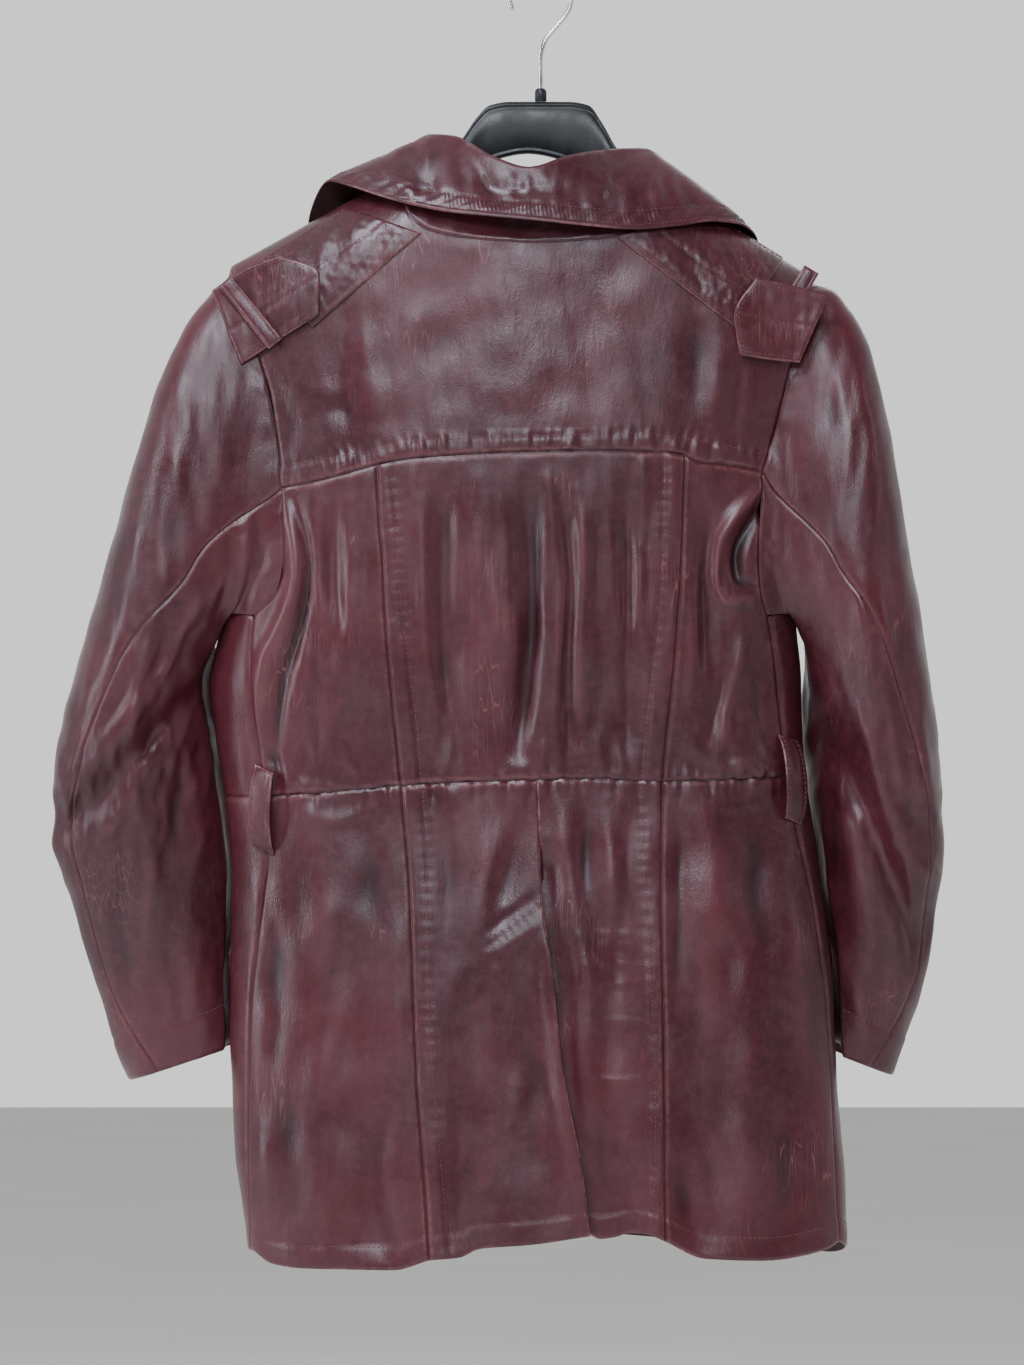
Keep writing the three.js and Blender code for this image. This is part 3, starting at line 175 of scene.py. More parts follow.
# Shoulder straps
EPAULETTE = {
    "left": [(-137, -171), (-84, -190), (-160, -256), (-196, -207)],
    "right": [(116, -173), (52, -192), (139, -258), (170, -206)],
}
TAB = {
    "left": ((-155, -217), [(-183, -205), (-207, -214), (-231, -229)],
             [(-155, -247), (-185, -265), (-210, -281)]),
    "right": ((135, -247), [(150, -221), (176, -226), (202, -232)], [(139, -275), (160, -278), (181, -280)]),
}
LOOP = {"left": ((-221, -223), (-186, -267), 12), "right": ((190, -214), (158, -268), 12)}
STRAP_LIFT, STRAP_CLEARANCE, FREE_TAB_CLEARANCE = 2.3, 1.2, 2.4
BELT_LOOP = {"left": ((-194, -564), (-194, -622), 27), "right": ((173, -543), (177, -602), 35)}
BELT_LOOP_GAP, BELT_LOOP_RISE = 0.5, 9.5
POCKET = {"left": ((-130, -636), (-94, -706), 24), "right": ((128, -636), (93, -704), 24)}
BUTTON_HEIGHTS = [-352, -432, -512, -610]

# Hanger
HANGER_TOP = [(-206, -210.5), (-99, -151), (-75, -138), (-57, -122), (-45, -105), (-36, -96.5), (-22, -94),
              (20, -94), (34, -96.5), (43, -108), (54, -127), (72, -145), (89, -158), (176, -215)]
HANGER_UNDERSIDE = [(-206, -225), (-150, -205), (-99, -178), (-57, -152), (-31, -135), (-9, -131), (13, -135),
                    (40, -150), (89, -182), (176, -227)]
HANGER_HALF_DEPTH = [(-206, 13), (-180, 16), (-99, 16), (-57, 11), (-36, 8), (34, 8), (54, 11), (89, 16),
                     (155, 16), (176, 13)]
WIRE_RADIUS, HOOK_RADIUS = 1.75, 21.75
HANGER_TOP_HEIGHT, PLATE_HALF_WIDTH = -94, 70

SIDES = ("left", "right")
SIGN = {"left": -1, "right": 1}
OTHER = {"left": "right", "right": "left"}
ARC = np.array([HALF_WIDTH, 1])  # an angle round the body and a height, times this, are lengths
ALL_EDGES = "top foot left right"


# Curves
def profile(points):
    """A smooth curve through (place, value) points that doesn't swing past them."""
    x, y = np.array(points, float).T
    if x[0] > x[-1]:
        x, y = x[::-1], y[::-1]
    steps = np.diff(x)
    slopes = np.diff(y) / steps
    tangents = np.concatenate([slopes[:1], np.zeros(len(x) - 2), slopes[-1:]])
    before, after = slopes[:-1], slopes[1:]
    same = before * after > 0
    tangents[1:-1][same] = 2 * before[same] * after[same] / (before[same] + after[same])

    def at(place):
        place = np.clip(place, x[0], x[-1])
        i = np.clip(np.searchsorted(x, place, side="right") - 1, 0, len(x) - 2)
        t = (place - x[i]) / steps[i]
        rise = steps[i] * (tangents[i] * t * (1 - t) ** 2 - tangents[i + 1] * t * t * (1 - t))
        return y[i] + (y[i + 1] - y[i]) * t * t * (3 - 2 * t) + rise

    return at


def lengths_of(points):
    return np.concatenate([[0], np.cumsum(np.linalg.norm(np.diff(points, axis=0), axis=1))])


def path(points):
    points = np.array(points, float)
    lengths = lengths_of(points)
    axes = [profile(np.column_stack([lengths / lengths[-1], axis])) for axis in points.T]
    return lambda share: np.stack([axis(np.asarray(share, float)) for axis in axes], -1)


def sample(points, count=60):
    return path(points)(np.linspace(0, 1, count + 1))


def along(points):
    """By share of length along a fine polyline."""
    lengths = lengths_of(points)
    return lambda share: np.stack([np.interp(share, lengths / lengths[-1], axis) for axis in points.T], -1)


def ease(value, low, high):
    t = np.clip((value - low) / (high - low), 0, 1)
    return t * t * (3 - 2 * t)


def mix(a, b, t):
    return a + (b - a) * t


def unit(vectors):
    return vectors / np.maximum(np.linalg.norm(vectors, axis=-1, keepdims=True), 1e-9)


def bell(distance, width):
    return np.exp(-(distance / width) ** 2)


def seen(points):
    """Points as they show from behind: across and up."""
    return points[..., [0, 2]]


def photo(points):
    """Photograph pixels to millimetres across and up."""
    return [((x - ORIGIN_PX[0]) * SCALE, (ORIGIN_PX[1] - y) * SCALE) for x, y in points]


# Body surface
left_side, right_side = profile(LEFT_SIDE), profile(RIGHT_SIDE)
back_depth, front_depth = profile(BACK_DEPTH), profile(FRONT_DEPTH)


def shoulder_height(x):
    return PEAK_Z - np.where(x < PEAK_X, SLOPE_LEFT, SLOPE_RIGHT) * np.abs(x - PEAK_X)


def trough(x, z, line, top, foot, half_width, depth):
    across = (x - profile(line)(z)) / half_width
    return -depth * ease(top - z, 0, 40) * ease(z - foot, 0, 40) * np.exp(-across * across)


BACK_FOLDS = [
    ([(-350, -70), (-470, -66), (-575, -58)], -352, -570, 9, 4),
    ([(-350, -14), (-470, -8), (-575, -20)], -356, -566, 9, 6.5),
    ([(-350, 14), (-470, 20), (-575, 26)], -358, -560, 8, 3),
    ([(-350, 62), (-470, 58), (-575, 60)], -352, -568, 9, 4),
    ([(-350, 118), (-470, 122), (-575, 130)], -362, -560, 10, 5),
    ([(-350, -140), (-470, -150), (-575, -160)], -376, -566, 11, 4),
    ([(-575, -140), (-740, -134), (-915, -112)], -660, -930, 20, 5),
    ([(-575, -40), (-740, -44), (-915, -46)], -700, -930, 16, 5),
    ([(-575, 48), (-740, 52), (-915, 58)], -640, -930, 14, 6),
    ([(-575, 128), (-740, 120), (-915, 110)], -660, -930, 20, 5),
]
FRONT_FOLDS = [
    ([(-350, -80), (-575, -96)], -400, -570, 14, 5),
    ([(-350, 76), (-575, 90)], -400, -570, 14, 5),
    ([(-575, -90), (-915, -112)], -680, -930, 22, 6),
    ([(-575, 84), (-915, 104)], -680, -930, 22, 6),
]


def body_point(angle, z):
    """0 is the centre back, a quarter turn the right side, a half turn the centre front."""
    left, right = left_side(z), right_side(z)
    across = np.sin(angle)
    x = (left + right) / 2 + (right - left) / 2 * across
    back = np.cos(angle) >= 0
    section = (1 - np.minimum(np.abs(across), 1) ** SQUARENESS) ** (1 / SQUARENESS)
    folds = np.where(back, *[sum(trough(x, z, *fold) for fold in some) for some in (BACK_FOLDS, FRONT_FOLDS)])
    depth = np.where(back, back_depth(z), front_depth(z)) + folds
    below = np.clip((shoulder_height(x) - z) / SHOULDER_ROUNDING, 0, 1)
    rounding = np.sqrt(1 - (1 - below) ** 2)
    return np.stack([x, np.where(back, -1, 1) * depth * section * rounding, z + 0 * x], -1)


def body_normal(angle, z):
    around = body_point(angle + 0.02, z) - body_point(angle - 0.02, z)
    up = body_point(angle, z + 0.04) - body_point(angle, z - 0.04)
    return unit(np.cross(around, up))


def body_angle(x, z):
    left, right = left_side(z), right_side(z)
    return np.arcsin(np.clip((2 * x - left - right) / (right - left), -1, 1))


def on_back(points):
    x, z = np.array(points, float).T
    return np.column_stack([body_angle(x, z), z])


def on_front(side, points):
    x, z = np.array(points, float).T
    return np.column_stack([SIGN[side] * math.pi - body_angle(x, z), z])


# Grids
def spaced(length, step):
    """Shares of a length, closer together at both ends, where the edge turns."""
    shares = np.linspace(0, 1, max(int(round(length / step)), 4) + 1)
    near = np.array([0.45, 1.0, 1.9]) / length
    margin = near[-1] * 1.3
    inner = shares[(shares > margin) & (shares < 1 - margin)]
    return np.unique(np.concatenate([[0, 1], near, 1 - near, inner]))


def coons(top, foot, left, right, step):
    """A grid of (angle, z) places between four polylines that share their corners."""
    borders = [along(border * ARC) for border in (top, foot, left, right)]
    lengths = [lengths_of(border * ARC)[-1] for border in (top, foot, left, right)]
    us, vs = spaced(max(lengths[:2]), step), spaced(max(lengths[2:]), step)
    t, f, l, r = borders[0](us), borders[1](us), borders[2](vs), borders[3](vs)
    u, v = us[None, :, None], vs[:, None, None]
    corners = mix(mix(t[0], t[-1], u), mix(f[0], f[-1], u), v)
    grid = mix(l[:, None], r[:, None], u) + mix(t[None], f[None], v) - corners
    return grid / ARC


def grid_normals(grid):
    return unit(np.cross(np.gradient(grid, axis=0), np.gradient(grid, axis=1)))


def edge_distances(grid):
    """How far each point is from the grid's left, right, top and foot edges."""
    across = np.linalg.norm(np.diff(grid, axis=1), axis=2)
    down = np.linalg.norm(np.diff(grid, axis=0), axis=2)
    left = np.concatenate([np.zeros((grid.shape[0], 1)), np.cumsum(across, 1)], 1)
    top = np.concatenate([np.zeros((1, grid.shape[1])), np.cumsum(down, 0)], 0)
    return {"left": left, "right": left[:, -1:] - left, "top": top, "foot": top[-1:] - top}


def distance_to(points, line):
    """Distance of (x, z) points to a polyline, and the length along it of the nearest place."""
    line = np.array(line, float)
    nearest = np.full(points.shape[:-1], 1e9)
    place = np.zeros(points.shape[:-1])
    start = 0.0
    for a, b in zip(line[:-1], line[1:]):
        span = b - a
        length = max(np.linalg.norm(span), 1e-6)
        t = np.clip(((points - a) @ span) / length ** 2, 0, 1)
        distance = np.linalg.norm(points - a - t[..., None] * span, axis=-1)
        closer = distance < nearest
        nearest = np.where(closer, distance, nearest)
        place = np.where(closer, start + t * length, place)
        start += length
    return nearest, place, start


def creases(points, lines):
    """Soft ridges and troughs along polylines: (line, half width, height) in millimetres."""
    total = np.zeros(points.shape[:-1])
    for line, half_width, height in lines:
        line = sample(line, 12)
        low, high = line.min(0) - 3 * half_width, line.max(0) + 3 * half_width
        inside = ((points >= low) & (points <= high)).all(-1)
        if not inside.any():
            continue
        distance, place, length = distance_to(points[inside], line)
        taper = np.sin(math.pi * np.clip(place / length, 0.04, 0.96)) ** 0.6
        total[inside] += height * taper * bell(distance, half_width)
    return total


def waves(points, across, down, count=24, seed=1):
    """Smooth uneven ripples with the given mean wavelengths across and down."""
    source = np.random.default_rng(seed)
    total = np.zeros(points.shape[:-1])
    for _ in range(count):
        turn = source.uniform(0, 2 * math.pi)
        size = source.uniform(0.6, 1.6)
        kx = 2 * math.pi / (across * size) * math.cos(turn)
        kz = 2 * math.pi / (down * size) * math.sin(turn)
        total += np.sin(kx * points[..., 0] + kz * points[..., 1] + source.uniform(0, 6.28))
    return total / math.sqrt(count / 2)


# Meshes
def mesh_object(name, points, faces, attributes=None):
    mesh = bpy.data.meshes.new(name)
    points = np.asarray(points, float) / 1000
    faces = np.asarray(faces, np.int32)
    mesh.vertices.add(len(points))
    mesh.vertices.foreach_set("co", points.ravel())
    mesh.loops.add(faces.size)
    mesh.loops.foreach_set("vertex_index", faces.ravel())
    mesh.polygons.add(len(faces))
    mesh.polygons.foreach_set("loop_start", np.arange(0, faces.size, faces.shape[1], dtype=np.int32))
    mesh.update(calc_edges=True)
    mesh.polygons.foreach_set("use_smooth", np.ones(len(faces), bool))
    for key, values in (attributes or {}).items():
        layer = mesh.attributes.new(key, "FLOAT", "POINT")
        layer.data.foreach_set("value", np.ascontiguousarray(values, np.float32).ravel())
    piece = bpy.data.objects.new(name, mesh)
    bpy.context.scene.collection.objects.link(piece)
    return piece


def shell_faces(rows, cols):
    at = np.arange(rows * cols).reshape(rows, cols)
    under = at + rows * cols
    quads = [
        np.stack([at[:-1, :-1], at[1:, :-1], at[1:, 1:], at[:-1, 1:]], -1).reshape(-1, 4),
        np.stack([under[:-1, :-1], under[:-1, 1:], under[1:, 1:], under[1:, :-1]], -1).reshape(-1, 4),
    ]
    for edge, flip in ((0, 0), (-1, 1)):
        for line, below, turned in ((at[:, edge], under[:, edge], flip), (at[edge], under[edge], 1 - flip)):
            quad = np.stack([line[:-1], below[:-1], below[1:], line[1:]], -1)
            quads.append(quad[:, ::-1] if turned else quad)
    return np.concatenate(quads)


SHEET_SIDE_LEAST, SHEET_SHARE_LEAST = 0.0102, 0.31  # metres, and a share of the sheet's rectangle
pieces, grids = {}, {}


def leather_piece(node, outer, inner, wear, relief):
    """A thin closed sheet of leather in place of its solid."""
    rows, cols = outer.shape[:2]
    points = np.concatenate([outer.reshape(-1, 3), inner.reshape(-1, 3)])
    none, all_of_it = np.zeros(rows * cols), np.ones(rows * cols)
    faces_of = {"wear": (wear.ravel(), none), "flesh": (none, all_of_it), "relief": (relief.ravel(), none)}
    looks = {key: np.concatenate(values) for key, values in faces_of.items()}
    piece = mesh_object(f"leather_{node}", points, shell_faces(rows, cols), looks)
    piece.data.materials.append(LEATHER_MATERIAL)
    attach(piece, "root")
    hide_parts(node)
    width, length = [
        max(max(lengths_of(line)[-1] for line in lines[::4]) / 1000, SHEET_SIDE_LEAST)
        for lines in (outer, outer.transpose(1, 0, 2))
    ]
    pieces[node] = piece


def edge_profile(distances, kinds):
    """Sewn edges turn in at the seam, free edges are rounded, plain ones stay."""
    total = 0 * distances["top"]
    for edge, distance in distances.items():
        if kinds[edge] == "sewn":
            total = total - 1.0 * bell(distance, 1.4)
        elif kinds[edge] == "free":
            total = total - 0.8 * bell(distance, 0.8)
    return np.maximum(total, -1.15)


def edges(free="", plain=""):
    kind = lambda edge: "free" if edge in free.split() else "plain" if edge in plain.split() else "sewn"
    return {edge: kind(edge) for edge in ALL_EDGES.split()}


def edge_wear(distances, kinds):
    """Dye rubbed off along free edges, and along the ridge beside each seam."""
    total = 0 * distances["top"]
    for edge, distance in distances.items():
        if kinds[edge] == "free":
            total = total + 0.75 * bell(distance, 1.0)
        elif kinds[edge] == "sewn":
            total = total + 0.32 * bell(distance - 2.4, 0.9)
    return np.clip(total, 0, 1)


# Amplitude of the leather's ripples on each panel, and their mean lengths across and down
RIPPLES = {
    "back_centre": (0.28, 14, 70), "back_yoke": (0.22, 26, 50), "skirt": (0.32, 28, 60), "": (0.26, 18, 55),
}


def body_panel(node, top, foot, left, right, relief, step=PANEL_STEP, lift=None, bend=None, free="", plain="",
               rests_on=("hanger_body",)):
    """A panel on the body surface between four lines of (angle, z)."""
    places = coons(top, foot, left, right, step)
    angle, z = places[..., 0], places[..., 1]
    points, normals = body_point(angle, z), body_normal(angle, z)
    bent = np.zeros(z.shape) if bend is None else bend(points, angle)
    raised = (np.zeros(z.shape) if lift is None else lift(angle, z)) + bent
    distances, kinds = edge_distances(points), edges(free, plain)
    fade = np.minimum.reduce([ease(d, 0, 9) for d in distances.values()])
    amplitude, wide, long = next(ripple for key, ripple in RIPPLES.items() if node.startswith(key))
    ripples = fade * amplitude * waves(seen(points), wide, long, seed=len(node))
    detail = edge_profile(distances, kinds) + ripples + relief(points, distances)
    outer = points + normals * (raised + detail)[..., None]
    inner = points + normals * (raised - LEATHER)[..., None]
    grids[node] = (outer, normals, distances)
    leather_piece(node, outer, inner, edge_wear(distances, kinds), bent + detail)


# Materials
DYE_DARK, DYE_LIGHT, MOTTLE = (0.034, 0.0054, 0.0092, 1), (0.064, 0.0108, 0.0170, 1), (0.108, 0.029, 0.038, 1)
# Dye streaks, the painted shade in the creases, and the ridges' rubbed dye with painted highlight
STREAK, CREASE_SHADE, RIDGE_WEAR_AND_HIGHLIGHT = (0.018, 0.0040, 0.0065, 1), (0.008, 0.0022, 0.0036, 1), (0.130, 0.040, 0.050, 1)
RUBBED, SCRATCHED, FLESH = (0.240, 0.085, 0.085, 1), (0.240, 0.085, 0.090, 1), (0.050, 0.020, 0.018, 1)
THREAD_DARK, THREAD_LIGHT = (0.075, 0.018, 0.022, 1), (0.165, 0.052, 0.056, 1)
HANGER_BLACK, BUTTON_BROWN = (0.008, 0.009, 0.011, 1), (0.030, 0.010, 0.011, 1)
STEEL_DARK, STEEL_LIGHT = (0.62, 0.63, 0.65, 1), (0.78, 0.79, 0.80, 1)
FLOOR_DARK, FLOOR_LIGHT = (0.70, 0.69, 0.67, 1), (0.73, 0.72, 0.70, 1)
SCRATCH_TURN = (0, 0.75, 0)


def set_inputs(tree, node, inputs):
    """Links each input to a socket, or gives it a value."""
    for key, value in inputs.items():
        if isinstance(value, bpy.types.NodeSocket):
            tree.links.new(value, node.inputs[key])
        else:
            node.inputs[key].default_value = value


def node_material(name):
    """An empty material, and where its object's own coordinates come in."""
    material = bpy.data.materials.new(name)
    material.use_nodes = True
    tree = material.node_tree
    tree.nodes.clear()
    output = tree.nodes.new("ShaderNodeOutputMaterial")
    shader = tree.nodes.new("ShaderNodeBsdfPrincipled")
    tree.links.new(shader.outputs["BSDF"], output.inputs["Surface"])
    return material, tree, shader, add(tree, "ShaderNodeTexCoord").outputs["Object"]


def add(tree, kind, inputs=None, **settings):
    node = tree.nodes.new(kind)
    for key, value in settings.items():
        setattr(node, key, value)
    set_inputs(tree, node, inputs or {})
    return node


def times(tree, a, b, clamp=False):
    return add(tree, "ShaderNodeMath", {0: a, 1: b}, operation="MULTIPLY", use_clamp=clamp).outputs[0]


def plus(tree, a, b, clamp=False):
    return add(tree, "ShaderNodeMath", {0: a, 1: b}, operation="ADD", use_clamp=clamp).outputs[0]


def ramp(tree, value, low, high, out_low=0.0, out_high=1.0):
    inputs = {"Value": value, "From Min": low, "From Max": high, "To Min": out_low, "To Max": out_high}
    return add(tree, "ShaderNodeMapRange", inputs, interpolation_type="SMOOTHSTEP").outputs["Result"]


def blend_colors(tree, factor, a, b):
    inputs = {"Factor": factor, 6: a, 7: b}
    return add(tree, "ShaderNodeMix", inputs, data_type="RGBA", blend_type="MIX").outputs[2]


def noise(tree, where, scale, detail=3.0, roughness=0.55):
    inputs = {"Vector": where, "Scale": scale, "Detail": detail, "Roughness": roughness}
    return add(tree, "ShaderNodeTexNoise", inputs).outputs["Fac"]


def stretched(tree, where, scale, turn=(0, 0, 0)):
    inputs = {"Vector": where, "Scale": scale, "Rotation": turn}
    return add(tree, "ShaderNodeMapping", inputs).outputs["Vector"]


def cells(tree, inputs, feature):
    return add(tree, "ShaderNodeTexVoronoi", inputs, feature=feature).outputs["Distance"]


def bumped(tree, height, strength, distance, **under):
    inputs = {"Height": height, "Strength": strength, "Distance": distance, **under}
    return add(tree, "ShaderNodeBump", inputs).outputs["Normal"]


def make_leather():
    material, tree, shader, where = node_material("oxblood_leather")
    wear, flesh, relief = [
        add(tree, "ShaderNodeAttribute", attribute_name=name).outputs["Fac"]
        for name in ("wear", "flesh", "relief")
    ]
    # Dye: broad patches, fine mottling
    patches = ramp(tree, noise(tree, where, 7.0, 4.0), 0.35, 0.68)
    mottling = noise(tree, where, 160.0, 4.0, 0.7)
    dye = blend_colors(tree, patches, DYE_DARK, DYE_LIGHT)
    dye = blend_colors(tree, ramp(tree, mottling, 0.35, 0.75, 0.0, 0.30), dye, MOTTLE)
    # Painted shade darkens the creases; ridges are lightened, partly by rubbed-off dye and partly by painted
    # highlight
    streaks = noise(tree, stretched(tree, where, (1.0, 1.0, 0.22)), 55.0, 5.0, 0.62)
    dye = blend_colors(tree, ramp(tree, streaks, 0.28, 0.46, 0.32, 0.0), dye, STREAK)
    # Painted shade: the dye is darkened where the relief sinks into a crease
    dye = blend_colors(tree, ramp(tree, relief, -3.0, -0.7, 0.72, 0.0), dye, CREASE_SHADE)
    # Rubbed dye and painted highlight: the dye is lightened where the relief rises into a ridge
    dye = blend_colors(tree, ramp(tree, relief, 0.5, 3.0, 0.0, 0.32), dye, RIDGE_WEAR_AND_HIGHLIGHT)
    worn = times(tree, ramp(tree, noise(tree, where, 34.0, 3.0), 0.36, 0.58), wear)
    specks = ramp(tree, noise(tree, where, 260.0, 4.0, 0.7), 0.32, 0.62)
    dye = blend_colors(tree, times(tree, worn, specks, clamp=True), dye, RUBBED)
    # Light scratches
    slanted = {"Vector": stretched(tree, where, (1.0, 1.0, 0.05), SCRATCH_TURN), "Scale": 260.0}
    lines = cells(tree, slanted, "DISTANCE_TO_EDGE")
    sparse = ramp(tree, noise(tree, where, 16.0, 2.0), 0.56, 0.70)
    scratches = times(tree, ramp(tree, lines, 0.0, 0.035, 0.5, 0.0), sparse)
    dye = blend_colors(tree, scratches, dye, SCRATCHED)
    dye = blend_colors(tree, flesh, dye, FLESH)
    # Gloss
    gloss = ramp(tree, noise(tree, where, 24.0, 4.0), 0.3, 0.7, 0.30, 0.46)
    rough = plus(tree, gloss, times(tree, flesh, 0.35), clamp=True)
    # Grain: pebbles, pores and fine creases
    grain = cells(tree, {"Vector": where, "Scale": 780.0, "Randomness": 1.0}, "SMOOTH_F1")
    pebbles = noise(tree, where, 1500.0, 2.0)
    fine_creases = noise(tree, stretched(tree, where, (1.0, 1.0, 0.3)), 150.0, 6.0, 0.66)
    height = plus(tree, times(tree, grain, 0.55), times(tree, pebbles, 0.25))
    fine = bumped(tree, height, 0.22, 0.0004)
    set_inputs(tree, shader, {
        "Base Color": dye, "Roughness": rough,
        "Specular IOR Level": 0.48, "Specular Tint": (0.90, 0.94, 1.0, 1),
        "Normal": bumped(tree, fine_creases, 0.34, 0.0011, Normal=fine),
    })
    return material


def make_thread():
    material, tree, shader, where = node_material("oxblood_thread")
    twist = noise(tree, where, 900.0, 2.0)
    colour = blend_colors(tree, ramp(tree, twist, 0.3, 0.7), THREAD_DARK, THREAD_LIGHT)
    set_inputs(tree, shader, {
        "Base Color": colour, "Roughness": 0.62, "Normal": bumped(tree, twist, 0.4, 0.0002),
    })
    return material


def make_plastic(name, colour, roughness, scale=420.0):
    material, tree, shader, where = node_material(name)
    speckle = noise(tree, where, scale, 4.0, 0.6)
    lighter = tuple(min(c * 1.9 + 0.004, 1) for c in colour[:3]) + (1,)
    clouds = ramp(tree, noise(tree, where, 40.0, 3.0), 0.3, 0.8)
    tint = blend_colors(tree, clouds, colour, lighter)
    smears = noise(tree, where, 60.0, 3.0)
    set_inputs(tree, shader, {
        "Base Color": tint, "Roughness": ramp(tree, smears, 0.3, 0.7, roughness * 0.85, roughness * 1.2),
        "Specular IOR Level": 0.28, "Normal": bumped(tree, speckle, 0.12, 0.0003),
    })
    return material


def make_steel():
    material, tree, shader, where = node_material("polished_wire")
    smears = noise(tree, stretched(tree, where, (1.0, 1.0, 0.2)), 300.0, 3.0)
    tint = blend_colors(tree, smears, STEEL_DARK, STEEL_LIGHT)
    set_inputs(tree, shader, {
        "Base Color": tint, "Roughness": ramp(tree, smears, 0.3, 0.7, 0.14, 0.26), "Metallic": 1.0,
        "Normal": bumped(tree, smears, 0.06, 0.0002),
    })
    return material


LEATHER_MATERIAL = make_leather()
THREAD_MATERIAL = make_thread()
HANGER_MATERIAL = make_plastic("black_hanger_plastic", HANGER_BLACK, 0.34)
BUTTON_MATERIAL = make_plastic("dark_button_plastic", BUTTON_BROWN, 0.30, 160.0)
STEEL_MATERIAL = make_steel()

# Stitch rows on the back, in photograph pixels
YOKE_ROW = [(283, 466), (330, 458), (375, 450), (431, 440), (460, 439), (550, 436), (640, 434), (696, 440),
            (747, 450), (763, 454)]
CENTRE_ROWS = [
    [(391, 468), (396, 527), (401, 600), (411, 678), (420, 757), (421, 783)],
    [(665, 456), (664, 547), (659, 627), (650, 694), (642, 775), (641, 781)],
]
FLAP_ROW = [(423, 785), (427, 882), (427, 960), (432, 1056), (441, 1160), (450, 1250)]
UNDER_ROW = [(641, 781), (646, 903), (650, 964), (655, 1110), (653, 1228)]
VENT_TOP_ROW = [(543, 905), (515, 926), (486, 947)]


def pucker(points, line, depth=0.3, ripple=0.3, wavelength=8.0, reach=6.0, seed=3):
    """The thread's furrow, and the ripples that it draws in the leather beside it."""
    distance, place, _ = distance_to(seen(points), sample(photo(line), 40))
    phase = 1.3 * np.sin(place / 17 + seed) + 0.9 * np.sin(place / 41 + 2 * seed)
    ripples = np.sin(2 * math.pi * place / wavelength + phase) * bell(distance, reach)
    return ripple * ripples - depth * bell(distance, 1.3)


def furrows(distances, edge_names, inset, width, depth):
    """The furrows of the stitch rows beside the named edges."""
    return sum(-depth * bell(distances[edge] - inset, width) for edge in edge_names)


def strip(distance, width, height=0.7):
    """A folded seam allowance under the leather, up to its stitch row."""
    return height * (1 - ease(distance, width - 1.2, width + 0.8)) * ease(distance, 0, 2.5)


# Back panels
def shoulder_line(side):
    ends = [(x, float(shoulder_height(x))) for x in (SHOULDER_POINT[side], NECK_POINT[side])]
    return sample(ends, 40)


def back_line(*parts):
    lines = [sample(part) for part in parts]
    return on_back(np.concatenate([lines[0]] + [line[1:] for line in lines[1:]]))


